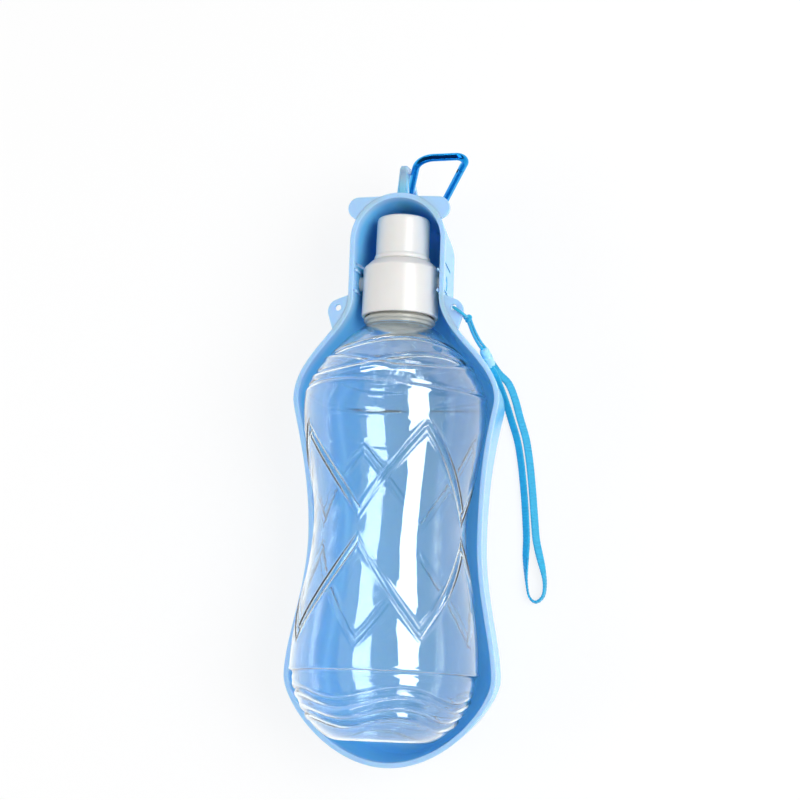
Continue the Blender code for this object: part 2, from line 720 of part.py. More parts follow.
def cap(mat):
    frame = bottle_frame()
    groove = SPOUT_R - ORING_GROOVE
    half = ORING_THICK_R + 0.25 * MM
    profile = [
        (CAP_R, CAP_MOUTH - 0.4 * MM),
        (CAP_R, CAP_SHOULDER),
        (CAP_TOP_R, CAP_TOP),
        (SPOUT_R, CAP_TOP),
        (SPOUT_R, ORING_POS + half),
        (groove, ORING_POS + half),
        (groove, ORING_POS - half),
        (SPOUT_R, ORING_POS - half),
        (SPOUT_R - 0.3 * MM, SPOUT_END),
        (POST_R, SPOUT_END),
        (POST_R - 0.2 * MM, POST_END),
        (0.0, POST_END),
    ]
    lower = [
        (0.0, SPOUT_END + SPOUT_FLOOR),
        (SPOUT_BORE_R, SPOUT_END + SPOUT_FLOOR),
        (SPOUT_BORE_R, CAP_CEILING),
        (CAP_BORE_R, CAP_CEILING),
        (CAP_BORE_R, CAP_MOUTH),
        (CAP_R - 0.4 * MM, CAP_MOUTH),
    ]
    body = turned("cap", lower + profile, PARTS, mat, frame)
    reach = HOOD_HALF - (RIM_HOOD_Z - PIVOT_Z) * math.tan(DRAFT) - TRUNNION_RECESS
    start = CAP_BORE_R + 0.6 * MM
    for side in (1, -1):
        turn = Matrix.Rotation(math.pi / 2, 4, "Y")
        place = at(side * (reach + start) / 2, 0, PIVOT_Z) @ turn
        stub = cylinder(f"trunnion {side}", TRUNNION_R, reach - start, GUIDES, place)
        boolean(body, stub, "UNION")
    for i in range(PORT_COUNT):
        turn = math.tau * (i + 0.5) / PORT_COUNT
        spot = Vector((math.cos(turn), math.sin(turn), 0)) * PORT_RING_R
        spot.z = SPOUT_END
        place = frame @ Matrix.Translation(spot)
        boolean(body, cylinder(f"port {i}", PORT_R, 8 * MM, GUIDES, place, sides=12), "DIFFERENCE")
    return body


def sleeve(mat):
    inner = SLEEVE_R - SLEEVE_WALL
    low = CAP_TOP - GAP
    hole = POST_R + GAP
    profile = [
        (SLEEVE_COLLAR_R, low),
        (SLEEVE_COLLAR_R, low - SLEEVE_COLLAR),
        (SLEEVE_R, low - SLEEVE_COLLAR - 0.5 * MM),
    ]
    corner = (SLEEVE_R - SLEEVE_EDGE_R, SLEEVE_END + SLEEVE_EDGE_R)
    profile += arc(corner, SLEEVE_EDGE_R, 0.0, -math.pi / 2, 4)
    profile += [
        (hole, SLEEVE_END),
        (hole, SLEEVE_END + SLEEVE_FACE),
        (inner, SLEEVE_END + SLEEVE_FACE),
        (inner, low),
    ]
    return turned("spout_sleeve", profile, PARTS, mat, bottle_frame())


def seals(mat):
    high = CAP_CEILING + GAP
    low = high + WASHER_THICK
    edge = NECK_R + 0.8 * MM
    profile = [(edge, low), (edge, high), (WASHER_HOLE_R, high), (WASHER_HOLE_R, low)]
    turned("sealing_washer", profile, PARTS, mat, bottle_frame())
    ring = arc((ORING_R, ORING_POS), ORING_THICK_R, math.pi / 2, -3 * math.pi / 2, 8)[:-1]
    turned("spout_o_ring", ring, PARTS, mat, bottle_frame(), 32)


def hook_frame():
    """Local X across the carabiner, local Y up its spine, local Z through its plane."""
    up = -HOOK_SPINE
    across = (HOOK_ACROSS - up * HOOK_ACROSS.dot(up)).normalized()
    through = across.cross(up)
    turn = Matrix((across, up, through)).transposed().to_4x4()
    return Matrix.Translation(HOOK_CORNER) @ turn


def rounded_corner(before, corner, after, radius, steps):
    a = (Vector(before) - Vector(corner)).normalized()
    b = (Vector(after) - Vector(corner)).normalized()
    half = a.angle(b) / 2
    middle = Vector(corner) + (a + b).normalized() * (radius / math.sin(half))
    start = Vector(corner) + a * (radius / math.tan(half)) - middle
    end = Vector(corner) + b * (radius / math.tan(half)) - middle
    sweep = start.angle_signed(end)
    out = []
    for i in range(steps + 1):
        turn = -sweep * i / steps
        c, s = math.cos(turn), math.sin(turn)
        out.append(middle + Vector((start.x * c - start.y * s, start.x * s + start.y * c)))
    return out


def hook_corners():
    return (
        Vector((0.0, -HOOK_LENGTH)),
        Vector((0.0, 0.0)),
        Vector((HOOK_TOP_WIDTH, HOOK_TOP_RISE)),
        Vector((HOOK_FOOT_WIDTH, -HOOK_LENGTH)),
    )


def gate_line():
    """Ends of the gate's own length on the carabiner's open side, nose end first."""
    foot, spine, nose, heel = hook_corners()
    down = (heel - nose).normalized()
    return nose + down * (HOOK_NOSE_BEND + NOSE_LENGTH), heel - down * (HOOK_FOOT_BEND + HINGE_STUB), down


def carabiner(body_mat, pin_mat, spring_mat):
    frame = hook_frame()
    foot, spine, nose, heel = hook_corners()
    nose_end, hinge_end, down = gate_line()
    route = [nose_end]
    route += rounded_corner(heel, nose, spine, HOOK_NOSE_BEND, 6)
    route += rounded_corner(nose, spine, foot, HOOK_SPINE_BEND, 9)
    route += rounded_corner(spine, foot, heel, HOOK_FOOT_BEND, 7)
    route += rounded_corner(foot, heel, nose, HOOK_FOOT_BEND, 6)
    route.append(hinge_end)
    points = [(p.x, p.y, 0.0) for p in route]
    body = baked(rod("carabiner_body", points, ROD_R, PARTS, None, frame), PARTS, body_mat)
    gate_points = [nose_end + down * GAP, hinge_end - down * GAP]
    gate = rod("carabiner_gate", [(p.x, p.y, 0.0) for p in gate_points], ROD_R, PARTS, None, frame)
    gate = baked(gate, PARTS, body_mat)
    tilt = math.atan2(-down.x, down.y)
    lie = Matrix.Rotation(tilt, 4, "Z")
    pin_spot = hinge_end + down * (TONGUE_LENGTH * 0.55)

    def spot(point, shift=0.0):
        p = point + down * shift
        return frame @ at(p.x, p.y, 0.0) @ lie

    wide = ROD_R * 2
    slot_size = (wide * 1.3, TONGUE_LENGTH * 2 + 0.8 * MM, GATE_SLOT)
    boolean(body, box("hinge slot", slot_size, GUIDES, spot(hinge_end)), "DIFFERENCE")
    bore_r = GATE_PIN_R + PIN_PLAY
    pin_hole = cylinder("pin hole", bore_r, wide * 2, GUIDES, spot(pin_spot), sides=12)
    boolean(body, pin_hole, "DIFFERENCE")
    tongue_size = (wide * 0.72, TONGUE_LENGTH * 2, TONGUE)
    boolean(gate, box("gate tongue", tongue_size, GUIDES, spot(hinge_end, -0.1 * MM)), "UNION")
    gate_hole = cylinder("gate pin hole", bore_r, wide * 2, GUIDES, spot(pin_spot), sides=12)
    boolean(gate, gate_hole, "DIFFERENCE")
    nose_size = (wide * 0.6, TONGUE_LENGTH * 2, TONGUE)
    boolean(body, box("nose tongue", nose_size, GUIDES, spot(nose_end)), "UNION")
    nose_slot = (wide * 1.3, TONGUE_LENGTH * 2 + 0.8 * MM, GATE_SLOT)
    boolean(gate, box("nose slot", nose_slot, GUIDES, spot(nose_end)), "DIFFERENCE")
    cylinder("gate_pin", GATE_PIN_R, wide - 0.1 * MM, PARTS, spot(pin_spot), pin_mat, sides=12)
    bore_start = TONGUE_LENGTH + 2.5 * MM
    bore_length = SPRING_LENGTH + GAP * 2
    upright = Matrix.Rotation(math.pi / 2, 4, "X")
    middle = -bore_start - bore_length / 2
    spring_place = spot(hinge_end, middle)
    spring_room = SPRING_R + SPRING_WIRE_R + GAP / 2
    bore = cylinder("spring bore", spring_room, bore_length, GUIDES, spring_place @ upright, sides=14)
    boolean(gate, bore, "DIFFERENCE")
    sideways = at(-ROD_R, 0, 0) @ Matrix.Rotation(math.pi / 2, 4, "Y")
    vent = cylinder("spring vent", SPRING_R, wide, GUIDES, spring_place @ sideways, sides=12)
    boolean(gate, vent, "DIFFERENCE")
    coil = []
    per_turn = 6
    for i in range(SPRING_TURNS * per_turn + 1):
        turn = math.tau * i / per_turn
        rise = SPRING_LENGTH * (i / (SPRING_TURNS * per_turn) - 0.5)
        coil.append((SPRING_R * math.cos(turn), rise, SPRING_R * math.sin(turn)))
    baked(rod("gate_spring", coil, SPRING_WIRE_R, PARTS, None, spring_place), PARTS, spring_mat)


def from_tab(x, y, z):
    """A point given in millimetres from the right tab's hole, with z over the table."""
    return Vector((TAB_HOLE_X + x * MM, TAB_HOLE_Y + y * MM, z * MM))


def lanyard(cord_mat, bead_mat):
    """Cord loop through the right tab, a knot, a twin cord, a coupling and the wrist strap."""
    rim = RIM_HOOD_Z / MM
    eye = [from_tab(EYE_WAY[0] * out, EYE_WAY[1] * out, rim + over) for out, over in EYE_ROUTE]
    rod("lanyard_eye", smooth_route(eye, 26), CORD_R, PARTS, cord_mat)
    knot_z = rim - KNOT_UNDER_RIM / MM
    knot_place = Matrix.Translation(from_tab(*KNOT_AT, knot_z))
    bm = bmesh.new()
    bmesh.ops.create_uvsphere(bm, u_segments=14, v_segments=8, radius=KNOT_R)
    put(mesh_from(bm, "lanyard_knot", 180.0), "lanyard_knot", PARTS, cord_mat, knot_place)
    drop = knot_z - COUPLING_HIGH[2]
    twin = [from_tab(x, y, COUPLING_HIGH[2] + drop * share) for x, y, share in TWIN_ROUTE]
    rod("lanyard_cord", smooth_route(twin, 16), TWIN_R, PARTS, cord_mat)
    high = from_tab(*COUPLING_HIGH)
    low = from_tab(*COUPLING_LOW)
    turn = (low - high).to_track_quat("Z", "Y").to_matrix().to_4x4()
    length = (low - high).length
    profile = [
        (0.0, length),
        (COUPLING_R - 0.3 * MM, length),
        (COUPLING_R, length - 0.5 * MM),
        (COUPLING_R, COUPLING_NOSE * 2),
        (TWIN_R + 0.3 * MM, 0.0),
        (0.0, 0.0),
    ]
    turned("lanyard_coupling", profile, PARTS, bead_mat, Matrix.Translation(high) @ turn, 20)
    strap = [from_tab(*point) for point in STRAP_ROUTE]
    rod("lanyard_strap", smooth_route(strap, 76), STRAP_R, PARTS, cord_mat)


clear_scene()
PARTS = collection("dog_travel_water_bottle")
GUIDES = collection("guides", guides=True)

BLUE = material("trough blue polypropylene", (0.27, 0.56, 0.88), 0.32)
CLEAR = material("bottle clear PET", (0.93, 0.96, 0.98), 0.05, transmission=0.9)
WHITE = material("cap white polypropylene", (0.91, 0.90, 0.88), 0.35)
RUBBER = material("seal silicone", (0.82, 0.83, 0.83), 0.5)
ANODISED = material("carabiner blue anodised aluminium", (0.01, 0.25, 0.63), 0.22, metallic=1.0)
STEEL = material("pin steel", (0.72, 0.73, 0.74), 0.3, metallic=1.0)
WEBBING = material("lanyard cyan nylon", (0.03, 0.38, 0.70), 0.75)
BEAD = material("coupling pale blue plastic", (0.42, 0.68, 0.90), 0.35)

trough(BLUE)
bottle(CLEAR)
cap(WHITE)
sleeve(WHITE)
seals(RUBBER)
carabiner(ANODISED, STEEL, STEEL)
lanyard(WEBBING, BEAD)
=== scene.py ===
# %% [markdown]
# # A travel water bottle for dogs
# This lesson dresses a finished CAD model. The bottle lies in its drinking trough,
# open side up, as it lies on a table. The CAD model is loaded as a frame that never
# moves: every piece made here sits where its solid sits and rides on its body, so the
# joints still work. All sizes are real ones, written in millimetres.

import bmesh
import bpy
import math
import numpy as np
from mathutils import Matrix, Vector
from mathutils.geometry import convex_hull_2d


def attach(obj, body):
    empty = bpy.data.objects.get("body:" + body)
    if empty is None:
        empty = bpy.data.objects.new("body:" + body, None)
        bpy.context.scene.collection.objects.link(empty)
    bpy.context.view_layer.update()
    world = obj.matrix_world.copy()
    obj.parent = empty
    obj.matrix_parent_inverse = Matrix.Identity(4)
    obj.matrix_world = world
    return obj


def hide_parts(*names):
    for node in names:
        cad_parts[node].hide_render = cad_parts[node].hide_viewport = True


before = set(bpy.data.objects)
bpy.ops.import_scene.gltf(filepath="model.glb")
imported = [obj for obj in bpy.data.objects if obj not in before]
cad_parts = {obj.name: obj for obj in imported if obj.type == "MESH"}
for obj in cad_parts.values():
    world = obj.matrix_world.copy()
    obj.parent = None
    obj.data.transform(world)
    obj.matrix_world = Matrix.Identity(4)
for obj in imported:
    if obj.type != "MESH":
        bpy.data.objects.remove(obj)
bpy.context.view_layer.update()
MM = 0.001


def shift(x, y, z):
    """A move in millimetres."""
    return Matrix.Translation(Vector((x, y, z)) * MM)


def placed(name, data, place=None):
    """A new object in the scene."""
    made = bpy.data.objects.new(name, data)
    bpy.context.scene.collection.objects.link(made)
    if place is not None:
        made.matrix_world = place
    return made


# %% [markdown]
# ## Camera and light
# A product photographer stands above the table and looks almost straight down, with a
# long lens so that the trough's sides stay nearly parallel. The camera's place was
# worked out from the trough's outline, so it is written as numbers.

# %% Camera
CAMERA_AT = (161.17, -149.11, 787.30)
LOOK = Vector((-0.20686, 0.13187, -0.96944))
TOP_OF_PICTURE = Vector((-0.00624, 0.99068, 0.13609))
LENS = 87.07
SENSOR = 36.0

camera_data = bpy.data.cameras.new("photo_camera")
camera_data.lens = LENS
camera_data.sensor_width = SENSOR
camera_data.clip_start = 0.01
right = LOOK.cross(TOP_OF_PICTURE).normalized()
turn = Matrix((right, TOP_OF_PICTURE, -LOOK)).transposed().to_4x4()
bpy.context.scene.camera = placed("photo_camera", camera_data, shift(*CAMERA_AT) @ turn)
bpy.context.scene.view_settings.view_transform = "Standard"


# %% [markdown]
# ## Small tools for materials
# Every colour is picked as an sRGB hex value, the way a paint program shows it, and one
# function turns it into the linear numbers that Blender computes with. One function
# adds a node, sets it and links its inputs. Two more give a finish what every real one
# has: a colour that drifts a little and a surface that isn't quite even.

# %% Colour and node helpers
EITHER = {"operation": "MAXIMUM"}  # of two kinds of ray
OF_COLOURS = {"data_type": "RGBA"}


def linear(hex_colour):
    """sRGB hex text to linear red, green, blue and alpha 1."""
    parts = [int(hex_colour[i:i + 2], 16) / 255 for i in (1, 3, 5)]
    return [c / 12.92 if c <= 0.04045 else ((c + 0.055) / 1.055) ** 2.4 for c in parts] + [1.0]


def add(tree, kind, settings=None, **inputs):
    """Adds a node; an input is a value or another node's output."""
    node = tree.nodes.new(kind)
    for key, value in (settings or {}).items():
        setattr(node, key, value)
    for key, value in inputs.items():
        socket = node.inputs[int(key[1:]) if key[0] == "i" and key[1:].isdigit() else key.replace("_", " ")]
        if isinstance(value, bpy.types.NodeSocket):
            tree.links.new(value, socket)
        else:
            socket.default_value = value
    return node


def finish_of(name, **values):
    """A new material and its Principled shader, with plain values on its own sockets."""
    mat = bpy.data.materials.new(name)
    mat.use_nodes = True
    shader = mat.node_tree.nodes["Principled BSDF"]
    for key, value in values.items():
        shader.inputs[key.replace("_", " ")].default_value = value
    return mat, mat.node_tree, shader


def millimetres(tree):
    """Object coordinates, scaled so that 1 is a millimetre."""
    place = add(tree, "ShaderNodeTexCoord").outputs["Object"]
    return add(tree, "ShaderNodeVectorMath", {"operation": "SCALE"}, i0=place, Scale=1 / MM).outputs[0]


def cloudy(tree, shader, where, scale, detail, first, second):
    """A base colour that drifts between two hex colours, as pigment, dye and wear leave it."""
    clouds = add(tree, "ShaderNodeTexNoise", None, Vector=where, Scale=scale, Detail=detail)
    colours = {"Factor": clouds.outputs[0], "A": linear(first), "B": linear(second)}
    tint = add(tree, "ShaderNodeMix", OF_COLOURS, **colours).outputs["Result"]
    tree.links.new(tint, shader.inputs["Base Color"])
    return tint


def uneven(tree, shader, where, scale, detail, depth_mm, strength=1.0, fineness=0.5):
    """Soft unevenness of a surface, its full height depth_mm."""
    grain = {"Scale": scale, "Detail": detail, "Roughness": fineness}
    waves = add(tree, "ShaderNodeTexNoise", None, Vector=where, **grain).outputs[0]
    bump = add(tree, "ShaderNodeBump", None, Strength=strength, Distance=depth_mm * MM, Height=waves)
    tree.links.new(bump.outputs["Normal"], shader.inputs["Normal"])


# %% [markdown]
# ## The table and the lamps
# The ground is a white sheet, which the camera sees mostly as plain white. The world is
# an even white sky, one softbox models the forms and a weaker one fills their far side,
# so colours render about as they are written. A clear bottle also needs bright shapes to
# mirror. A photographer stands cards and strips round it for that: here they are lamps
# that only mirror-like rays see, so they add no light to the blue. Such rays also see a
# sky that is bright low down and dark above, as a room is, which gives clear and
# polished things their dark and light.

# %% Table, sky and softboxes
WHITE = linear("#ffffff")
world = bpy.data.worlds.new("white_studio")
bpy.context.scene.world = world
world.use_nodes = True
sky = world.node_tree
sky.nodes.clear()
rays = add(sky, "ShaderNodeLightPath").outputs
seen = add(sky, "ShaderNodeMath", EITHER, i0=rays["Is Camera Ray"], i1=rays["Is Transmission Ray"])
way_out = add(sky, "ShaderNodeTexCoord").outputs["Generated"]
split = add(sky, "ShaderNodeSeparateXYZ", None, Vector=way_out)
ceiling = add(
    sky,
    "ShaderNodeMapRange",
    {"interpolation_type": "SMOOTHSTEP"},
    Value=split.outputs["Z"],
    From_Min=0.05,
    From_Max=0.3,
    To_Min=1.5,
    To_Max=0.19,
)
lamp, mirror, wall = (
    add(sky, "ShaderNodeBackground", None, Color=WHITE, Strength=strength).outputs[0]
    for strength in (0.44, ceiling.outputs[0], 1.0)
)
glossy = add(sky, "ShaderNodeMixShader", None, i0=rays["Is Glossy Ray"], i1=lamp, i2=mirror)
# straight from the camera, or through the clear bottle, the sky is plain white
both = add(sky, "ShaderNodeMixShader", None, i0=seen.outputs[0], i1=glossy.outputs[0], i2=wall)
add(sky, "ShaderNodeOutputWorld", None, Surface=both.outputs[0])

paper, tree, shader = finish_of(
    "paper_matte_white", Base_Color=WHITE, Roughness=0.9, Specular_IOR_Level=0.1
)
rays = add(tree, "ShaderNodeLightPath").outputs
shine = add(
    tree, "ShaderNodeMath", {"operation": "MULTIPLY_ADD"}, i0=rays["Is Glossy Ray"], i1=0.2, i2=1.0
)
bright = add(tree, "ShaderNodeEmission", None, Color=WHITE, Strength=shine.outputs[0])
straight = add(tree, "ShaderNodeMath", EITHER, i0=rays["Is Camera Ray"], i1=rays["Is Glossy Ray"])
share = add(tree, "ShaderNodeMath", {"operation": "MULTIPLY"}, i0=straight.outputs[0], i1=0.82)
blend = add(
    tree, "ShaderNodeMixShader", None, i0=share.outputs[0], i1=shader.outputs[0], i2=bright.outputs[0]
)
tree.links.new(blend.outputs[0], tree.nodes["Material Output"].inputs["Surface"])

TABLE_HALF, TABLE_Z = 2.5, -0.0002
table_mesh = bpy.data.meshes.new("table")
corners = [(x * TABLE_HALF, y * TABLE_HALF, TABLE_Z) for x, y in ((-1, -1), (1, -1), (1, 1), (-1, 1))]
table_mesh.from_pydata(corners, [], [(0, 1, 2, 3)])
table_mesh.materials.append(paper)
table = placed("table", table_mesh)


def softbox(name, place_mm, width_mm, height_mm, watts, mirrored_only=False, aim_mm=(0, -90, 40)):
    """A rectangular lamp. A mirrored one only shows in gloss, the others only light."""
    data = bpy.data.lights.new(name, "AREA")
    data.shape = "RECTANGLE"
    data.size = width_mm * MM
    data.size_y = height_mm * MM
    data.energy = watts
    way = Vector(aim_mm) - Vector(place_mm)
    turned_to = way.to_track_quat("-Z", "Y").to_matrix().to_4x4()
    made = placed(name, data, shift(*place_mm) @ turned_to)
    made.visible_diffuse = not mirrored_only
    made.visible_glossy = mirrored_only
    made.visible_transmission = mirrored_only


softbox("softbox_key", (680, -90, 770), 800, 620, 7.2)
softbox("softbox_fill", (-800, -150, 500), 700, 500, 2.8)
softbox("card_right", (640, 40, 790), 1100, 430, 10.8, True)
softbox("strip_back", (-60, 900, 520), 1100, 50, 2.5, True, (0, 0, 40))
softbox("strip_front", (0, -1150, 480), 1100, 50, 2.5, True)


# %% [markdown]
# ## Small tools for shapes
# Most of this object is turned (the bottle, the cap, the spout) or swept (cords, rod,
# the trough's wall). So two builders do nearly all the work: one skins a grid of
# points, one sweeps a ring along a path.

# %% Shape helpers
def piece(name, mesh, mat, body, slot, *nodes, place=None):
    """Puts a mesh in the scene as a piece that stands for CAD nodes and rides on a body."""
    made = placed(name, mesh, place)
    mesh.materials.clear()
    mesh.materials.append(mat)
    bpy.context.view_layer.update()
    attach(made, body)
    if nodes:
        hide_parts(*nodes)
    return made


def edited(mesh, *steps):
    """Runs steps on a mesh, each a function of its bmesh."""
    bm = bmesh.new()
    bm.from_mesh(mesh)
    for step in steps:
        step(bm)
    bm.to_mesh(mesh)
    bm.free()
    return mesh


def weld(bm):
    bmesh.ops.remove_doubles(bm, verts=bm.verts, dist=0.002 * MM)


def face_outward(bm):
    bmesh.ops.recalc_face_normals(bm, faces=bm.faces)


def fill_holes(bm):
    bmesh.ops.holes_fill(bm, edges=[e for e in bm.edges if e.is_boundary], sides=0)


def with_parts(mesh, parts):
    """Adds further parts of the same moulding to a mesh."""
    return edited(mesh, lambda bm: [bm.from_mesh(part) for part in parts])


def shaded(mesh, sharp=None):
    """Smooth shading, with sharp edges above an angle in degrees if one is given."""
    mesh.shade_smooth()
    if sharp:
        mesh.set_sharp_from_angle(angle=math.radians(sharp))
    return mesh


def block(size):
    """A box round the origin, its size in millimetres."""
    mesh = bpy.data.meshes.new("block")

    def cube(bm):
        bmesh.ops.create_cube(bm, size=1.0)
        bmesh.ops.scale(bm, vec=Vector(size) * MM, verts=bm.verts)

    return edited(mesh, cube)


def skin(name, points, close_u=False, close_v=False, sharp=None):
    """Mesh of quads over a grid of points, shaped (rows, columns, 3), in metres."""
    rows, columns, _ = points.shape
    faces = []
    for i in range(rows if close_u else rows - 1):
        for j in range(columns if close_v else columns - 1):
            k = (i + 1) % rows
            m = (j + 1) % columns
            faces.append((i * columns + j, i * columns + m, k * columns + m, k * columns + j))
    mesh = bpy.data.meshes.new(name)
    mesh.from_pydata(points.reshape(-1, 3).tolist(), [], faces)
    return tidy(mesh, sharp)


def tidy(mesh, sharp=None):
    """Welds doubled points, turns faces outward and shades smooth."""
    return shaded(edited(mesh, weld, face_outward), sharp)


def turned(name, profile, steps=96, sharp=None):
    """Turns a closed loop of (radius, height) points, in millimetres, round local Z."""
    loop = np.array(profile, float) * MM
    angle = np.linspace(0, 2 * math.pi, steps, endpoint=False)
    points = np.empty((len(loop), steps, 3))
    points[..., 0] = loop[:, :1] * np.cos(angle)
    points[..., 1] = loop[:, :1] * np.sin(angle)
    points[..., 2] = loop[:, 1:]
    on_axis = loop[0][0] == 0 and loop[-1][0] == 0
    return skin(name, points, close_u=not on_axis, close_v=True, sharp=sharp)


def rounded(profile, radius, steps=4):
    """Rounds the corners of an open line of 2-D points."""
    out = [profile[0]]
    for before, corner, after in zip(profile, profile[1:], profile[2:]):
        a, b, c = Vector(before), Vector(corner), Vector(after)
        cut = min(radius, (a - b).length * 0.45, (c - b).length * 0.45)
        start = b + (a - b).normalized() * cut
        end = b + (c - b).normalized() * cut
        for i in range(steps + 1):
            t = i / steps
            out.append(tuple(start * (1 - t) ** 2 + b * 2 * t * (1 - t) + end * t * t))
    out.append(profile[-1])
    return out


def curve_points(p0, p1, p2, p3, steps):
    """Points along a Bezier curve, without its first one."""
    t = np.linspace(0, 1, steps + 1)[1:, None]
    p0, p1, p2, p3 = (np.array(p, float) for p in (p0, p1, p2, p3))
    return (1 - t) ** 3 * p0 + 3 * t * (1 - t) ** 2 * p1 + 3 * t * t * (1 - t) * p2 + t ** 3 * p3


def unit(rows):
    """Each row scaled to length 1."""
    return rows / np.linalg.norm(rows, axis=1)[:, None]


def run_along(way):
    """Distance run along a path at each of its points."""
    return np.concatenate([[0], np.cumsum(np.linalg.norm(np.diff(way, axis=0), axis=1))])


def smooth_way(knots, count):
    """Evenly spaced points on a smooth curve through the knots, in millimetres."""
    knots = np.array(knots, float)
    chain = np.vstack([2 * knots[:1] - knots[1:2], knots, 2 * knots[-1:] - knots[-2:-1]])
    t = np.linspace(0, 1, 24, endpoint=False)[:, None]
    runs = []
    for a, b, c, d in zip(chain, chain[1:], chain[2:], chain[3:]):
        bow, swing = 2 * a - 5 * b + 4 * c - d, 3 * b - a - 3 * c + d
        runs.append(0.5 * (2 * b + (c - a) * t + bow * t ** 2 + swing * t ** 3))
    fine = np.vstack(runs + [knots[-1:]])
    run = run_along(fine)
    want = np.linspace(0, run[-1], count)
    return np.stack([np.interp(want, run, fine[:, k]) for k in range(3)], axis=1)


def length_of(way):
    return float(run_along(way)[-1])


def swept(name, way, ring, first_side=(0, 0, 1), closed=False):
    """Sweeps one ring, or one for each point, along a path without twist.

    A ring's offsets are toward the side and toward the vector square to side and path.
    """
    tangent = unit(np.gradient(way, axis=0))
    side = np.empty_like(way)
    s = np.array(first_side, float)
    for i, t in enumerate(tangent):
        s = s - t * s.dot(t)
        s /= np.linalg.norm(s)
        side[i] = s
    third = np.cross(tangent, side)
    ring = np.asarray(ring, float)
    if ring.ndim == 2:
        ring = np.repeat(ring[None], len(way), axis=0)
    points = way[:, None] + ring[..., :1] * side[:, None] + ring[..., 1:] * third[:, None]
    mesh = skin(name, points * MM, close_u=closed, close_v=True)
    return mesh if closed else shaded(edited(mesh, fill_holes, face_outward), 50)


def circle(radius, sides):
    angle = np.linspace(0, 2 * math.pi, sides, endpoint=False)
    return np.stack([radius * np.cos(angle), radius * np.sin(angle)], axis=1)


# %% [markdown]
# ## Blue polypropylene for the trough
# The trough is injection-moulded polypropylene, a waxy plastic with an IOR near 1.49.
# A polished mould leaves a soft gloss with a faint flow waviness, and thin walls let a
# little light through, which the subsurface share gives. Rim, lobes and the hanging loop
# get a lighter base colour: painted light, standing in for light that has wandered in the
# wall and leaves it at its edges. An attribute named "edge", which the trough's mesh gets
# below, says where this painted light goes.

# %% Polypropylene, moulded
trough_blue, tree, shader = finish_of(
    "polypropylene_moulded_blue",
    Roughness=0.24,
    IOR=1.49,
    Specular_IOR_Level=0.25,
    Subsurface_Weight=0.4,
    Subsurface_Scale=3.5 * MM,
    Subsurface_Radius=(0.2, 0.5, 1.0),
)
where = millimetres(tree)
tint = cloudy(tree, shader, where, 0.05, 2.0, "#70c5f8", "#7acaf9")
# painted light: rim, lobes and loop are mixed toward a lighter blue where "edge" says
edge = add(tree, "ShaderNodeAttribute", {"attribute_name": "edge"}).outputs["Fac"]
painted_rim_light = add(tree, "ShaderNodeMix", OF_COLOURS, Factor=edge, A=tint, B=linear("#abd2fc"))
tree.links.new(painted_rim_light.outputs["Result"], shader.inputs["Base Color"])
uneven(tree, shader, where, 0.12, 3.0, 0.10, fineness=0.45)

# %% [markdown]
# ## The trough
# One moulding: a peanut-shaped tray whose rim rises toward the hood, where the bottle's
# cap is clipped in. A designer draws the rim's outline once and lofts the wall down
# from it with a draft angle, so that is what this code does: each outline point gets a
# column of points down the outside, over the rounded rim, and down the inside.

# %% Trough outline and rim line, in millimetres
HOOD_HALF, HOOD_END_Y, HOOD_FOOT_Y = 19.5, 35.5, -6.0
SHOULDER_HALF, SHOULDER_Y = 41.9, -47.0
WAIST_HALF, WAIST_Y = 35.4, -102.0
FLARE_HALF, FLARE_Y, TIP_Y = 42.8, -157.0, -192.2
RIM_TOP = 47.5
RIM = ((-18.0, RIM_TOP), (SHOULDER_Y, 41.8), (WAIST_Y, 34.1), (FLARE_Y, 35.9))
WALL = 2.1
DRAFT = math.tan(math.radians(5.0))
BILGE_R = 9.0
RIM_ROUND = 0.5


def rim_height(y):
    """The rim rises from the tray to the hood in smooth steps."""
    if y >= RIM[0][0]:
        return RIM_TOP
    for (a, za), (b, zb) in zip(RIM, RIM[1:]):
        if y >= b:
            t = (a - y) / (a - b)
            return za + (zb - za) * t * t * (3 - 2 * t)
    return RIM[-1][1]


def rim_half():
    """Right half of the rim's outer edge, from the hood's end to the tip."""
    centre = HOOD_END_Y - HOOD_HALF
    angle = np.linspace(math.pi / 2, 0, 28)
    arc = np.stack([HOOD_HALF * np.cos(angle), centre + HOOD_HALF * np.sin(angle)], axis=1)
    straight = np.stack([np.full(10, HOOD_HALF), np.linspace(centre, HOOD_FOOT_Y, 11)[1:]], axis=1)
    rise, fall = SHOULDER_Y - HOOD_FOOT_Y, WAIST_Y - SHOULDER_Y
    swell, close = FLARE_Y - WAIST_Y, TIP_Y - FLARE_Y
    hood, shoulder = (HOOD_HALF, HOOD_FOOT_Y), (SHOULDER_HALF, SHOULDER_Y)
    waist, flare = (WAIST_HALF, WAIST_Y), (FLARE_HALF, FLARE_Y)
    # from, how far straight out of it, how far straight into the next, to, steps
    bends = (
        (hood, rise * 0.37, rise * 0.41, shoulder, 30),
        (shoulder, fall * 0.1, fall * 0.6, waist, 28),
        (waist, swell * 0.4, swell * 0.26, flare, 28),
    )
    runs = [curve_points(a, (a[0], a[1] + go), (b[0], b[1] - come), b, n) for a, go, come, b, n in bends]
    swing = (FLARE_HALF, FLARE_Y + close * 0.31), (FLARE_HALF * 0.56, TIP_Y)
    return np.vstack([arc, straight, *runs, curve_points(flare, *swing, (0.0, TIP_Y), 34)])


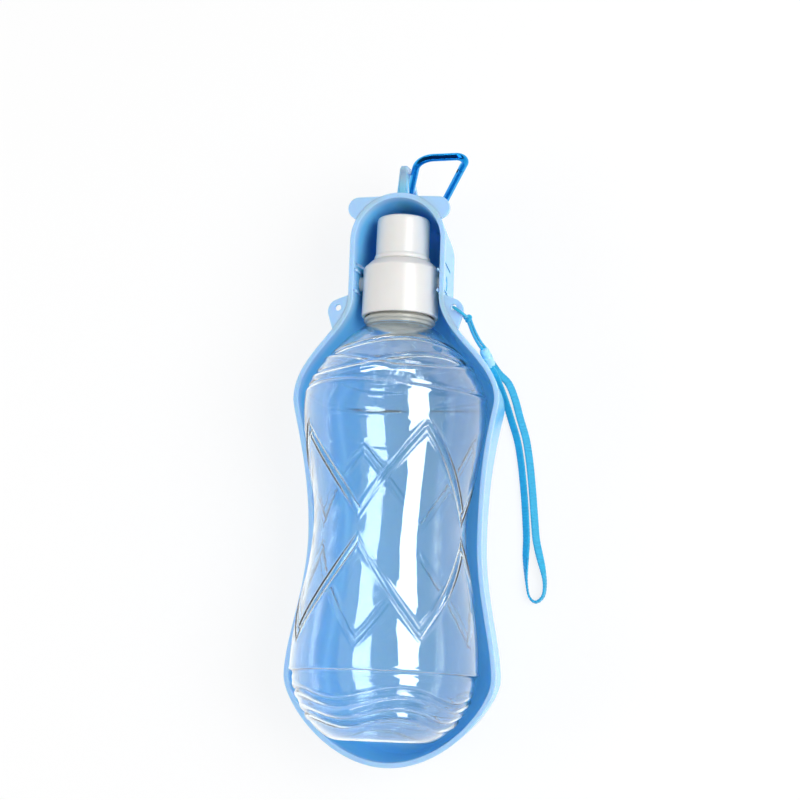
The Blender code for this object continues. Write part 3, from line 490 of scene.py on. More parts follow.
# %% Trough shell
def wall_column(rim_z):
    """(inward shift, height) from the outside's foot over the rim to the inside's foot."""

    def arc(x, z, radius, first, last, count):
        angle = np.linspace(first, last, count) * math.pi / 2
        return np.stack([x + radius * np.cos(angle), z + radius * np.sin(angle)], axis=1)

    top, inner_r = rim_z - RIM_ROUND, BILGE_R - WALL
    heights = np.linspace(BILGE_R, top, 8)
    side = np.stack([(rim_z - heights) * DRAFT, heights], axis=1)
    outer_foot = side[0, 0] + BILGE_R
    return np.vstack([
        arc(outer_foot, BILGE_R, BILGE_R, 3, 2, 9),
        side[1:],
        arc(RIM_ROUND, top, RIM_ROUND, 2, 1, 6)[1:],
        arc(WALL - RIM_ROUND, top, RIM_ROUND, 1, 0, 6),
        side[-2::-1] + (WALL, 0),
        arc(outer_foot, BILGE_R, inner_r, 2, 3, 9)[1:],
    ])


def inward_ways(half):
    """Unit vectors into the trough at each point of the half outline."""
    before = np.vstack([[-half[1][0], half[1][1]], half[:-1]])
    after = np.vstack([half[1:], [-half[-2][0], half[-2][1]]])
    along = unit(after - before)
    return np.stack([along[:, 1], -along[:, 0]], axis=1)


def both_halves(right):
    """The right half's points, then the left half's, in one round."""
    return np.concatenate([right, right[1:-1][::-1] * (-1, 1, 1)])


def trough_shell():
    half = rim_half()
    columns = []
    for (x, y), (ix, iy) in zip(half, inward_ways(half)):
        inward, height = wall_column(rim_height(y)).T
        columns.append(np.stack([np.maximum(x + ix * inward, 0), y + iy * inward, height], axis=1))
    columns = np.array(columns)
    columns[[0, -1], :, 0] = 0
    loop = both_halves(columns) * MM
    count, rows, _ = loop.shape
    n = len(columns)
    faces = []
    for i in range(count):
        k = (i + 1) % count
        for j in range(rows - 1):
            faces.append((i * rows + j, k * rows + j, k * rows + j + 1, i * rows + j + 1))
    for j in (0, rows - 1):
        for i in range(n - 1):
            left_a = (count - i) % count
            left_b = count - i - 1 if i < n - 2 else n - 1
            quad = [i * rows + j, (i + 1) * rows + j, left_b * rows + j, left_a * rows + j]
            faces.append(tuple(dict.fromkeys(quad)))
    mesh = bpy.data.meshes.new("trough_shell")
    mesh.from_pydata(loop.reshape(-1, 3).tolist(), [], faces)
    return tidy(mesh)


shell_mesh = trough_shell()
print("trough shell", len(shell_mesh.polygons), "faces")

# %% [markdown]
# ## Ears, tabs and the hanging loop
# Flat lobes stand out level with the hood's rim: two ears at its end, and two tabs with
# a hole for a strap. Each is a disc drawn out to points in the wall, so that its edges
# run into the rim without a corner. The room inside the trough is cut away, so they end
# in the wall. The hanging loop is a web with a window, under a tapered plate.

# %% Lobes and loop
# kind, radius, middle, and the points in the wall that the disc is drawn out to
LOBES = (
    ("ear", 4.5, (16.2, 29.2), ((7.5, 34.0),)),
    ("tab", 4.9, (22.6, -12.6), ((18.0, -5.6), (25.2, -20.8))),
)
LOBE_TOP = RIM_TOP - 0.35
LOBE_THICK = 1.9
TAB_HOLE = (23.4, -11.2)
TAB_HOLE_R = 1.3
LOOP_TIP_Y, LOOP_TOP, LOOP_WEB = 49.2, 41.9, 2.6


def baked(scratch):
    """The mesh that a scratch object comes to, with its modifiers; the object is removed."""
    bpy.context.view_layer.update()
    result = bpy.data.meshes.new_from_object(scratch.evaluated_get(bpy.context.evaluated_depsgraph_get()))
    bpy.data.objects.remove(scratch, do_unlink=True)
    return result


def with_modifiers(mesh, *steps):
    """Runs modifiers on a mesh and gives the new mesh."""
    scratch = placed("scratch", mesh)
    for kind, settings in steps:
        step = scratch.modifiers.new(kind, kind)
        for key, value in settings.items():
            setattr(step, key, value)
    return baked(scratch)


def drill(radius, reach, steps, place):
    """A round cutter along its own Z."""
    profile = [(0, -reach), (radius, -reach), (radius, reach), (0, reach)]
    return placed("drill", turned("drill", profile, steps), place)


def add_line(curve, points):
    """Adds a line through 3-D points in millimetres to a curve."""
    line = curve.splines.new("POLY")
    line.points.add(len(points) - 1)
    for point, co in zip(line.points, np.array(points) * MM):
        point.co = (*co, 1)
    return line


def plate(name, loops, thick, place, edge):
    """A flat plate with eased edges from closed outlines, the first outside, the others holes."""
    curve = bpy.data.curves.new(name, "CURVE")
    curve.dimensions = "2D"
    curve.fill_mode = "BOTH"
    curve.extrude = thick / 2 * MM
    for loop in loops:
        add_line(curve, [(x, y, 0) for x, y in loop]).use_cyclic_u = True
    mesh = baked(placed(name, curve))
    edited(mesh, weld, lambda bm: bmesh.ops.transform(bm, matrix=place, verts=bm.verts))
    bevel = {"width": edge * MM, "segments": 3, "limit_method": "ANGLE", "angle_limit": math.radians(40)}
    return shaded(with_modifiers(mesh, ("BEVEL", bevel)), 35)


def room_mesh():
    """The room inside the trough, up past the rim, for trimming what is added outside."""
    half = rim_half()
    ways = inward_ways(half)
    depth = 1.2
    ring = [half + ways * (depth + drop * DRAFT) for drop in (0, 44)]
    rows = []
    for points, z in ((ring[0], 60.0), (ring[0], 46.0), (ring[1], 3.0)):
        right_side = np.column_stack([np.maximum(points[:, 0], 0), points[:, 1], np.full(len(points), z)])
        right_side[0, 0] = right_side[-1, 0] = 0
        rows.append(both_halves(right_side))
    return edited(skin("room", np.array(rows) * MM, close_v=True), fill_holes, face_outward)


def cut_away(mesh, *tools):
    """Subtracts the tools and removes them."""
    steps = [("BOOLEAN", {"operation": "DIFFERENCE", "solver": "EXACT", "object": t}) for t in tools]
    result = with_modifiers(mesh, *steps)
    for t in tools:
        bpy.data.objects.remove(t, do_unlink=True)
    return result


def disc_loop(x, y, r, sides=48):
    return [tuple(point) for point in circle(r, sides) + (x, y)]


extras = []
for side in (1, -1):
    for kind, r, (x, y), roots in LOBES:
        spots = disc_loop(x, y, r) + list(roots)
        loops = [[(side * spots[i][0], spots[i][1]) for i in convex_hull_2d(spots)]]
        if kind == "tab":
            loops.append(disc_loop(side * TAB_HOLE[0], TAB_HOLE[1], TAB_HOLE_R, 28))
        level = shift(0, 0, LOBE_TOP - LOBE_THICK / 2)
        lobe = plate(f"{kind}_{side}", loops, LOBE_THICK, level, 0.45)
        extras.append(cut_away(lobe, placed("room", room_mesh())))

web_outline = [
    (HOOD_END_Y - 6, LOOP_TOP), (LOOP_TIP_Y - 2.6, LOOP_TOP - 1.1), (LOOP_TIP_Y - 0.7, LOOP_TOP - 2.6),
    (LOOP_TIP_Y + 0.1, LOOP_TOP - 12.4), (LOOP_TIP_Y - 5.6, LOOP_TOP - 23.6),
    (LOOP_TIP_Y - 10.6, LOOP_TOP - 32.9), (HOOD_END_Y - 6, LOOP_TOP - 37.0),
]
web_window = [
    (LOOP_TIP_Y - 1.5, LOOP_TOP - 11.0), (LOOP_TIP_Y - 2.6, LOOP_TOP - 8.6),
    (HOOD_END_Y + 1.3, LOOP_TOP - 4.6), (HOOD_END_Y + 0.5, LOOP_TOP - 26.2),
    (LOOP_TIP_Y - 10.3, LOOP_TOP - 28.2),
]
stand = Matrix(((0, 0, 1, 0), (1, 0, 0, 0), (0, 1, 0, 0), (0, 0, 0, 1)))
web = plate("loop_web", [web_outline, web_window], LOOP_WEB, stand, 0.3)
plan = [(-2.9, HOOD_END_Y - 6), (-1.35, LOOP_TIP_Y - 1.8), (1.35, LOOP_TIP_Y - 1.8), (2.9, HOOD_END_Y - 6)]
top_plate = plate("loop_plate", [plan], 3.0, shift(0, 0, LOOP_TOP - 2.5), 0.35)
extras += [cut_away(part, placed("room", room_mesh())) for part in (web, top_plate)]
print("lobes and loop:", len(extras), "parts of the moulding")

# %% [markdown]
# ## Clip slots and hinge holes
# The cap's two nubs snap into round holes in the hood's sides. Two narrow slots beside
# each hole let the wall spring outward, and low ribs guide the nubs down to it.

# %% Cut and join the trough
PIVOT_Z = 37.4
NUB_R = 2.8
SLOT_SIZE = (8.4, 1.0, 22.0)
SLOT_AT = (18.6, 5.6, RIM_TOP - 2.2 - SLOT_SIZE[2] / 2)
SLOT_SHIFT = 1.5
RIB_HALF, RIB_AT, RIB_THICK = 0.5, 4.2, 1.1

pivot = shift(0, 0, PIVOT_Z)
across = Matrix.Rotation(math.pi / 2, 4, "Y")
upright = Matrix.Rotation(math.pi / 2, 4, "X")
low, high = PIVOT_Z - NUB_R, RIM_TOP - 0.6
rib_x = HOOD_HALF - (RIM_TOP - (low + high) / 2) * DRAFT - WALL
rib_outline = [(-RIB_HALF, low), (RIB_HALF, low), (RIB_HALF, high), (-RIB_HALF, high)]
cutters = [drill(NUB_R + 0.3, 40, 48, pivot @ across)]
for side in (1, -1):
    for step in (1, -1):
        spot = (side * SLOT_AT[0], step * SLOT_AT[1] + SLOT_SHIFT, SLOT_AT[2])
        cutters.append(placed("slot", block(SLOT_SIZE), shift(*spot)))
        place = shift(side * rib_x, step * RIB_AT, 0) @ upright
        extras.append(plate("rib", [rib_outline], RIB_THICK, place, 0.25))
trough_mesh = cut_away(shell_mesh, *cutters)
shaded(with_parts(trough_mesh, extras), 38)
# where the painted light goes: full near the rim's top, none 4 mm below it, 0.8 on the loop
painted_rim_light_share = trough_mesh.attributes.new("edge", "FLOAT", "POINT")
for vert, value in zip(trough_mesh.vertices, painted_rim_light_share.data):
    below = rim_height(vert.co.y / MM) - vert.co.z / MM
    on_loop = 0.8 if vert.co.y / MM > HOOD_END_Y + 0.3 else 0.0
    value.value = min(1.0, max(on_loop, 1.0 - (below - 1.0) / 3.0))
piece("trough_moulding", trough_mesh, trough_blue, "trough", "trough_blue", "trough")
print("trough", len(trough_mesh.polygons), "faces")

# %% [markdown]
# ## Clear PET for the bottle
# The bottle is stretch-blown PET: water-clear, hard and thin, with an IOR of 1.575. It
# is a real shell here, with an outer and an inner face, so light bends at both and goes
# on nearly straight, as it does in a thin wall. So thin a wall throws hardly any shadow:
# rays that only ask how much light arrives pass straight through. A very weak waviness
# stands for the uneven wall that blowing leaves, and a share of coat for its hard glassy
# skin, so that its mirror images are bright. The neck isn't blown: it is thick and cloudy.

# %% PET, blown
pet, tree, shader = finish_of(
    "pet_blown_clear",
    Base_Color=linear("#f0fafd"),
    Roughness=0.03,
    IOR=1.575,
    Transmission_Weight=1.0,
    Coat_Weight=0.6,
    Coat_Roughness=0.03,
)
uneven(tree, shader, millimetres(tree), 0.06, 2.0, 0.25)
rays = add(tree, "ShaderNodeLightPath").outputs
asks = add(tree, "ShaderNodeMath", EITHER, i0=rays["Is Shadow Ray"], i1=rays["Is Diffuse Ray"])
through = add(tree, "ShaderNodeBsdfTransparent", None, Color=linear("#f4f8fb"))
clear = add(
    tree, "ShaderNodeMixShader", None, i0=asks.outputs[0], i1=shader.outputs[0], i2=through.outputs[0]
)
tree.links.new(clear.outputs[0], tree.nodes["Material Output"].inputs["Surface"])

neck_pet, tree, shader = finish_of(
    "pet_neck_thick",
    Base_Color=linear("#dcdcd4"),
    Roughness=0.25,
    IOR=1.575,
    Transmission_Weight=0.4,
    Subsurface_Weight=0.4,
    Subsurface_Scale=1.5 * MM,
    Subsurface_Radius=(1.0, 1.0, 1.0),
)

# %% [markdown]
# ## The bottle
# A turned form would be too plain: the mould presses zigzag lines, waves and ring lines
# into it. So the profile is turned into a fine grid, and each grid point is then moved
# along the profile's normal by a height that is worked out from its place. The grid's
# s runs from the hinge to the base, and its angle from the top toward +X.

# %% Bottle profile
BOTTLE_RISE = math.radians(2.46)
NECK_R, NECK_MOUTH, NECK_BEAD, NECK_BEAD_R, NECK_FOOT_R = 12.5, -1.4, 15.0, 14.4, 13.2
SHOULDER_R, SHOULDER_S = 36.6, 50.0
WAIST_R, WAIST_S = 30.4, 98.0
RING_R, RING_S = 37.0, 154.0
BASE_R, BASE_S, PUSH_UP = 16.8, 182.0, 4.0
PET_WALL, NECK_EXTRA = 0.8, 0.8
THREAD_PITCH, THREAD_FROM, THREAD_TO = 3.2, 0.6, 11.5

bottle_frame = pivot @ Matrix.Rotation(math.pi / 2 - BOTTLE_RISE, 4, "X")


def side_radius(s):
    """Plain radius of the body between its shoulder and its lower ring."""
    if s <= WAIST_S:
        t = (s - SHOULDER_S) / (WAIST_S - SHOULDER_S)
        return SHOULDER_R + (WAIST_R - SHOULDER_R) * t * t * (3 - 2 * t)
    t = (s - WAIST_S) / (RING_S - WAIST_S)
    return WAIST_R + (RING_R - WAIST_R) * t * t * (3 - 2 * t)


def outer_profile():
    """(radius, s) from the base's middle up to the mouth, evenly spaced."""
    line = [(0.0, BASE_S - PUSH_UP), (BASE_R * 0.35, BASE_S - PUSH_UP + 0.5), (BASE_R * 0.72, BASE_S - 1.2)]
    line = rounded(line + [(BASE_R - 1.5, BASE_S), (BASE_R, BASE_S)], 2.5)
    heel = (BASE_R + 7, BASE_S), (RING_R - 2.5, RING_S + 16), (RING_R - 1, RING_S + 3.5)
    line += curve_points((BASE_R, BASE_S), *heel, 30).tolist()
    line += [(RING_R - 0.75, RING_S + 2.4), (RING_R - 0.1, RING_S + 1.6)]
    line += [(side_radius(s), s) for s in np.linspace(RING_S, SHOULDER_S, 60)]
    foot = NECK_BEAD + 1.5 + 1.2
    dome = (SHOULDER_R, SHOULDER_S - 13), (NECK_FOOT_R + 5.5, foot + 3.5), (NECK_FOOT_R, foot)
    line += curve_points((SHOULDER_R, SHOULDER_S), *dome, 30).tolist()
    neck = [
        (NECK_FOOT_R, foot), (NECK_FOOT_R, NECK_BEAD + 1.5), (NECK_BEAD_R, NECK_BEAD + 1.2),
        (NECK_BEAD_R, NECK_BEAD), (NECK_R, NECK_BEAD - 0.4), (NECK_R, NECK_MOUTH), (NECK_R - 0.6, NECK_MOUTH),
    ]
    line += rounded(neck, 0.35)[1:]
    line = np.array(line)
    run = run_along(line)
    keep = np.concatenate([[True], np.diff(run) > 1e-6])
    line, run = line[keep], run[keep]
    neck_run = run[-1] - 20
    steps = np.append(np.linspace(0, neck_run, 420, endpoint=False), np.linspace(neck_run, run[-1], 90))
    return np.stack([np.interp(steps, run, line[:, k]) for k in range(2)], axis=1)


# %% Pressed lines
def bump_line(distance, width, height):
    """A rounded ridge, or a groove where height is negative."""
    return height * np.exp(-((distance / width) ** 2))


def zigzag(s, angle, start, end):
    """Distance to a line that runs to and fro between two heights, four times round."""
    t = ((angle - math.radians(33)) / (math.pi / 4)) % 2
    t = np.where(t > 1, 2 - t, t)
    return (s - (start + (end - start) * t)) * 0.64


def pressed(s, angle, radius):
    """Height of the mould's pattern, in millimetres, over the plain form."""
    height = np.zeros_like(s)
    # two zigzags, each with a field sunk beside it
    for start, end in ((62, 95), (142, 106.5)):
        d = zigzag(s, angle, start, end)
        height += bump_line(d, 0.8, -1.0) + bump_line(np.abs(d) - 1.65, 0.5, 0.45)
        inside = np.where(start < end, 1, -1) * d
        sunk = -0.22 / (1 + np.exp(-np.clip(inside - 1.5, -30, 30) / 0.35))
        height += sunk * np.exp(-np.clip(inside - 6, 0, None) / 8)
    # waves above the base
    swing = np.cos(4 * (angle - math.radians(25)))
    for level, reach in ((165.0, -2.3), (172.9, -1.9)):
        d = s - (level + reach * swing)
        height += bump_line(d, 0.7, -0.7) + bump_line(d - 1.9, 0.9, 0.5) + bump_line(d + 1.9, 0.9, 0.3)
    # swirls on the shoulder
    for level, reach, turn in ((28.5, -2.6, 0), (35.0, 3.2, 0), (36.5, -3.2, 20), (45.5, 1.6, 30)):
        d = s - (level + reach * np.cos(2 * (angle - math.radians(25 + turn))))
        height += bump_line(d, 0.65, -0.5) + bump_line(d - 1.6, 0.8, 0.25)
    # rings
    for level, width, rise in ((61.0, 1.1, 0.15), (155.0, 0.6, 0.3), (156.9, 0.8, -0.5)):
        height += bump_line(s - level, width, rise)
    # the mould's parting line
    side = np.minimum(np.abs(angle - math.pi / 2), np.abs(angle - 3 * math.pi / 2)) * radius
    height += bump_line(side, 0.25, 0.10) * (s > 20)
    # all of it fades out at the neck and the base
    for room in (s - 19.5, BASE_S - 1.5 - s, radius - 17):
        height = height * np.clip(room / 3, 0, 1)
    return height


def thread(s, angle):
    """The neck's screw thread: a low ridge that climbs one pitch a turn."""
    d = (s - THREAD_PITCH * angle / (2 * math.pi)) % THREAD_PITCH - THREAD_PITCH / 2
    on = np.clip((s - THREAD_FROM) / 1.2, 0, 1) * np.clip((THREAD_TO - s) / 1.2, 0, 1)
    return 0.8 * np.exp(-((d / 0.6) ** 2)) * on


# %% Bottle mesh
def bottle_mesh():
    line = outer_profile()
    along = unit(np.gradient(line, axis=0))
    normal = np.stack([-along[:, 1], along[:, 0]], axis=1)
    angle = np.linspace(0, 2 * math.pi, 360, endpoint=False)
    r, s = (np.repeat(line[:, k:k + 1], len(angle), axis=1) for k in (0, 1))
    turn = np.repeat(angle[None], len(line), axis=0)
    height = pressed(s, turn, r)
    screw = thread(s, turn) * (np.abs(r - NECK_R) < 0.1)
    sheets = []
    for depth in (0.0, PET_WALL):
        lift = height - depth + (screw if depth == 0 else 0)
        wall = np.where(line[:, 1:] < NECK_BEAD + 3, NECK_EXTRA, 0.0) * (depth > 0)
        radius = r + normal[:, :1] * (lift - wall)
        place = s + normal[:, 1:] * (lift - wall)
        radius[0] = 0
        radius = np.maximum(radius, 0)
        sheets.append(np.stack([radius * np.sin(turn), radius * np.cos(turn), place], axis=2))
    outer, inner = sheets
    inner[-1, :, 2] = outer[-1, :, 2]
    return skin("bottle", np.concatenate([outer, inner[::-1]]) * MM, close_v=True)


bottle = piece("bottle_blown", bottle_mesh(), pet, "bottle", "bottle_clear", "bottle", place=bottle_frame)
bottle.data.materials.append(neck_pet)
for face in bottle.data.polygons:
    if face.center.z < (NECK_BEAD + 2.6) * MM:
        face.material_index = 1
print("bottle", len(bottle.data.polygons), "faces")

# %% [markdown]
# ## White polypropylene for the cap and the spout
# Cap and spout are the same white polypropylene, but from a finely eroded mould, so
# they look satin rather than glossy, and a warm white next to the blue.

# %% Polypropylene, satin white
cap_white, tree, shader = finish_of(
    "polypropylene_satin_white", Roughness=0.34, IOR=1.49, Subsurface_Weight=0.12, Subsurface_Scale=1.5 * MM
)
where = millimetres(tree)
cloudy(tree, shader, where, 0.09, 2.0, "#e6e4e1", "#ecebe8")
uneven(tree, shader, where, 4.0, 1.0, 0.02, 0.5)

# %% [markdown]
# ## The cap
# The cap screws on the neck and carries two nubs that are its hinge. Its skirt is
# smooth, its shoulder is bevelled, and the fixed spout stands on top with four ports
# round a centre post. All that is turned from one profile; then a Boolean cuts the
# ports, and the nubs are put on.

# %% Cap
CAP_R, CAP_MOUTH, CAP_SHOULDER, CAP_TOP, CAP_TOP_R = 15.36, 14.1, -5.4, -8.6, 12.2
CAP_BORE_R, CAP_CEILING = 14.0, -4.2
SPOUT_R, SPOUT_BORE_R, SPOUT_END = 9.0, 7.0, -23.0
POST_R, POST_END = 2.6, -26.3
PORT_RING_R, PORT_R = 4.7, 1.4
O_RING_AT, O_RING_GROOVE, O_RING_HALF = -19.0, 0.95, 0.67

cap_outside = rounded(
    [
        (CAP_BORE_R, CAP_MOUTH), (CAP_R, CAP_MOUTH), (CAP_R, CAP_SHOULDER), (CAP_TOP_R, CAP_TOP),
        (SPOUT_R, CAP_TOP), (SPOUT_R, O_RING_AT + O_RING_HALF),
    ],
    0.6,
    5,
)
groove_r = SPOUT_R - O_RING_GROOVE
cap_spout = [
    (groove_r, O_RING_AT + O_RING_HALF), (groove_r, O_RING_AT - O_RING_HALF),
    (SPOUT_R, O_RING_AT - O_RING_HALF), (SPOUT_R - 0.3, SPOUT_END + 0.4),
    (SPOUT_R - 0.7, SPOUT_END), (POST_R, SPOUT_END),
    (POST_R - 0.2, POST_END + 0.3), (POST_R - 0.5, POST_END), (0.0, POST_END),
]
cap_inside = [
    (0.0, SPOUT_END + 2), (SPOUT_BORE_R, SPOUT_END + 2), (SPOUT_BORE_R, CAP_CEILING),
    (CAP_BORE_R, CAP_CEILING), (CAP_BORE_R, CAP_MOUTH - 0.3),
]
cap_mesh = turned("cap", cap_inside + cap_outside + cap_spout, 120)
port_spots = disc_loop(0, 0, PORT_RING_R, 8)[1::2]
cap_mesh = cut_away(cap_mesh, *(drill(PORT_R, 4, 24, shift(x, y, SPOUT_END)) for x, y in port_spots))

NUB_ROOT, NUB_REACH = CAP_BORE_R + 0.6, HOOD_HALF - (RIM_TOP - PIVOT_Z) * DRAFT - 0.6
nub_profile = rounded([(0, NUB_ROOT), (NUB_R, NUB_ROOT), (NUB_R, NUB_REACH), (0, NUB_REACH)], 0.5, 4)
nubs = []
for side in (1, -1):
    nub = turned("nub", nub_profile, 48)
    nub.transform(bottle_frame.inverted() @ pivot @ Matrix.Rotation(side * math.pi / 2, 4, "Y"))
    nubs.append(nub)
shaded(with_parts(cap_mesh, nubs), 38)
piece("cap_with_spout", cap_mesh, cap_white, "cap", "cap_white", "cap", place=bottle_frame)

# %% [markdown]
# ## The push-pull spout
# A sleeve that slides on the fixed spout. Pushed in, the post plugs the hole in its
# face. Its rim at the foot is what fingers or teeth pull on.

# %% Spout sleeve
SLEEVE_R, SLEEVE_WALL, SLEEVE_END, SLEEVE_FACE = 10.78, 1.4, -26.8, 1.5
SLEEVE_LIP_R, SLEEVE_HOLE_R = 11.3, POST_R + 0.3
foot_s, sleeve_bore_r = CAP_TOP - 0.3, SLEEVE_R - SLEEVE_WALL
sleeve_outside = rounded(
    [
        (sleeve_bore_r, foot_s), (SLEEVE_LIP_R, foot_s), (SLEEVE_LIP_R, foot_s - 1.5),
        (SLEEVE_R, foot_s - 2.2), (SLEEVE_R - 0.1, SLEEVE_END + 5),
    ],
    1.1,
    6,
)
corner = [(SLEEVE_R - 0.12, SLEEVE_END + 4), (SLEEVE_R - 0.15, SLEEVE_END), (POST_R + 0.6, SLEEVE_END)]
sleeve_end = rounded(corner, 2.2, 9)
sleeve_end += [(SLEEVE_HOLE_R, SLEEVE_END + 0.3), (SLEEVE_HOLE_R, SLEEVE_END + SLEEVE_FACE)]
sleeve_inside = [(sleeve_bore_r, SLEEVE_END + SLEEVE_FACE), (sleeve_bore_r, foot_s - 0.2)]
sleeve_mesh = turned("spout", sleeve_outside + sleeve_end + sleeve_inside, 112, 38)
piece(
    "spout_sleeve_moulded", sleeve_mesh, cap_white, "sleeve", "cap_white", "spout_sleeve", place=bottle_frame
)

# %% [markdown]
# ## Silicone for the seals
# The washer in the cap and the O-ring under the sleeve are turned in the CAD model
# already, so they only need their rubbery, slightly cloudy silicone.

# %% Silicone
silicone, tree, shader = finish_of(
    "silicone_translucent", Roughness=0.5, IOR=1.41, Subsurface_Weight=0.3, Subsurface_Scale=1.0 * MM
)
cloudy(tree, shader, millimetres(tree), 0.5, 2.0, "#dfe3e4", "#ebeeee")


def dress(node, mat):
    """Gives a CAD node's own object a material."""
    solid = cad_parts[node]
    solid.data.materials.clear()
    solid.data.materials.append(mat)


dress("sealing_washer", silicone)
dress("spout_o_ring", silicone)

# %% [markdown]
# ## Anodised aluminium for the carabiner
# The rod is polished aluminium with a dyed blue oxide layer. The dye works like a
# tinted mirror: metallic 1 with a saturated blue, low roughness, and fine lines left by
# drawing the rod. On top of the dye's own colour, a painted reflection: the base colour is
# navy where the rod faces the camera and cyan toward its sides, which Layer Weight gives.
# The bare steel of pin and spring is a plain grey metal.

# %% Anodised aluminium and steel
anodised, tree, shader = finish_of("aluminium_anodised_blue", Metallic=1.0, Roughness=0.2)
where = millimetres(tree)
tint = cloudy(tree, shader, where, 0.35, 4.0, "#12a0e4", "#26b4f2")
# painted reflection: navy where the rod faces the camera, cyan toward its sides
turned_away = add(tree, "ShaderNodeLayerWeight", None, Blend=0.8).outputs["Facing"]
dye_and_painted_sheen = add(tree, "ShaderNodeMix", OF_COLOURS, Factor=turned_away, A=linear("#073c98"), B=tint)
tree.links.new(dye_and_painted_sheen.outputs["Result"], shader.inputs["Base Color"])
uneven(tree, shader, where, 2.2, 2.0, 0.02, 0.6)

steel, tree, shader = finish_of(
    "steel_bright_drawn", Metallic=1.0, Roughness=0.28, Base_Color=linear("#c9cbce")
)
uneven(tree, shader, millimetres(tree), 3.0, 2.0, 0.01, 0.5)

# %% [markdown]
# ## The carabiner
# One rod, bent to a D that narrows toward its hinge end. It is swept round along its
# bend line. The gate, its pin and its spring are the CAD solids: they have the slot,
# tongue and bore already, and get the metal.

# %% Carabiner
ROD_R = 1.55
HOOK_CORNER = np.array((6.3, 50.6, 42.6))
HOOK_SPINE = Vector((-0.30, -0.40, -0.865)).normalized()
HOOK_ACROSS = Vector((0.967, 0.042, -0.252))
hook_up = -HOOK_SPINE
hook_across = (HOOK_ACROSS - hook_up * HOOK_ACROSS.dot(hook_up)).normalized()
HOOK_LINE = ((0.0, -43.0), (0.0, 0.0), (20.0, 3.4), (12.5, -43.0))
HOOK_BENDS = (4.6, 7.5, 3.6, 4.6)
NOSE_STRAIGHT, HINGE_STRAIGHT = 5.0, 5.5
SLOT_DEEP, PIN_HOLE_R = 2.2, 0.51
GATE_SLOT = (4.03, 5.2, 1.3)
NOSE_TONGUE = (1.86, 4.4, 0.9)


def bend(before, corner, after, radius, steps):
    """Points round a bend of a given radius."""
    a = (Vector(before) - Vector(corner)).normalized()
    b = (Vector(after) - Vector(corner)).normalized()
    half = a.angle(b) / 2
    middle = Vector(corner) + (a + b).normalized() * (radius / math.sin(half))
    start = Vector(corner) + a * (radius / math.tan(half)) - middle
    end = Vector(corner) + b * (radius / math.tan(half)) - middle
    sweep = start.angle_signed(end)
    return [middle + Matrix.Rotation(-sweep * i / steps, 2) @ start for i in range(steps + 1)]


def hook_points():
    foot, spine, nose, heel = (Vector(p) for p in HOOK_LINE)
    down = (heel - nose).normalized()
    nose_end = nose + down * (HOOK_BENDS[2] + NOSE_STRAIGHT)
    hinge_end = heel - down * (HOOK_BENDS[3] + HINGE_STRAIGHT)
    line = [nose_end]
    line += bend(heel, nose, spine, HOOK_BENDS[2], 16)
    line += bend(nose, spine, foot, HOOK_BENDS[1], 22)
    line += bend(spine, foot, heel, HOOK_BENDS[0], 16)
    line += bend(foot, heel, nose, HOOK_BENDS[3], 16)
    line += [hinge_end + down * 0.45, hinge_end]
    fine = []
    for a, b in zip(line, line[1:]):
        parts = max(1, round((b - a).length / 1.5))
        fine += [a.lerp(b, i / parts) for i in range(parts)]
    fine.append(line[-1])
    way = [HOOK_CORNER + np.array(hook_across) * p.x + np.array(hook_up) * p.y for p in fine]
    return np.array(way), down


hook_way, hook_down = hook_points()
hook_normal = hook_across.cross(hook_up)
hook_rings = np.repeat(circle(ROD_R, 28)[None], len(hook_way), axis=0)
hook_rings[-1] *= 0.55  # a chamfer, so that the gate can turn past the rod's end
hook_mesh = swept("carabiner", hook_way, hook_rings, first_side=tuple(hook_normal))


def hook_place(spot):
    """Turns local X, Y, Z to across, along and through the straight that holds the gate."""
    lie = math.atan2(-hook_down.x, hook_down.y)
    middle = Vector(HOOK_CORNER) + hook_across * spot.x + hook_up * spot.y
    turn = Matrix((hook_across, hook_up, hook_normal)).transposed().to_4x4()
    return shift(*middle) @ turn @ Matrix.Rotation(lie, 4, "Z")


stub = Vector(HOOK_LINE[3]) - hook_down * (HOOK_BENDS[3] + HINGE_STRAIGHT)
pin = stub + hook_down * (SLOT_DEEP * 0.55)
nose = Vector(HOOK_LINE[2]) + hook_down * (HOOK_BENDS[2] + NOSE_STRAIGHT)
slot = placed("slot", block(GATE_SLOT), hook_place(stub))
hook_mesh = cut_away(hook_mesh, slot, drill(PIN_HOLE_R, 4, 20, hook_place(pin)))
tongue = block(NOSE_TONGUE)
tongue.transform(hook_place(nose))
shaded(with_parts(hook_mesh, [tongue]), 45)
piece("carabiner_rod", hook_mesh, anodised, "carabiner", "carabiner_blue", "carabiner_body")
dress("carabiner_gate", anodised)
dress("gate_pin", steel)
dress("gate_spring", steel)
print("carabiner rod", round(length_of(hook_way)), "mm long")

# %% [markdown]
# ## Nylon for the lanyard
# Cord and wrist strap are cyan nylon. Nylon fibres have a sheen at grazing angles, and
# the narrow webbing has cross ribs 1.3 mm apart. The ribs are modelled, so only the
# yarn itself, about 0.3 mm thick, is left to the bump.

# %% Nylon, woven
nylon, tree, shader = finish_of(
    "nylon_woven_cyan", Roughness=0.62, Sheen_Weight=0.35, Sheen_Roughness=0.4, Specular_IOR_Level=0.4
)
where = millimetres(tree)
cloudy(tree, shader, where, 0.5, 2.0, "#0da2d4", "#26b6de")
yarn = add(tree, "ShaderNodeTexVoronoi", {"feature": "F1"}, Vector=where, Scale=1.7).outputs[0]
bump = add(tree, "ShaderNodeBump", None, Strength=0.7, Distance=0.15 * MM, Height=yarn)
tree.links.new(bump.outputs["Normal"], shader.inputs["Normal"])

# %% [markdown]
# ## Cord, knot and coupling
# A thin cord goes from the coupling up through the knot, round through the tab's hole
# and back down beside itself. It is one curve. The knot is a short length of the same
# cord wound on itself, and the coupling is a little moulded bead that holds cord and
# webbing together.

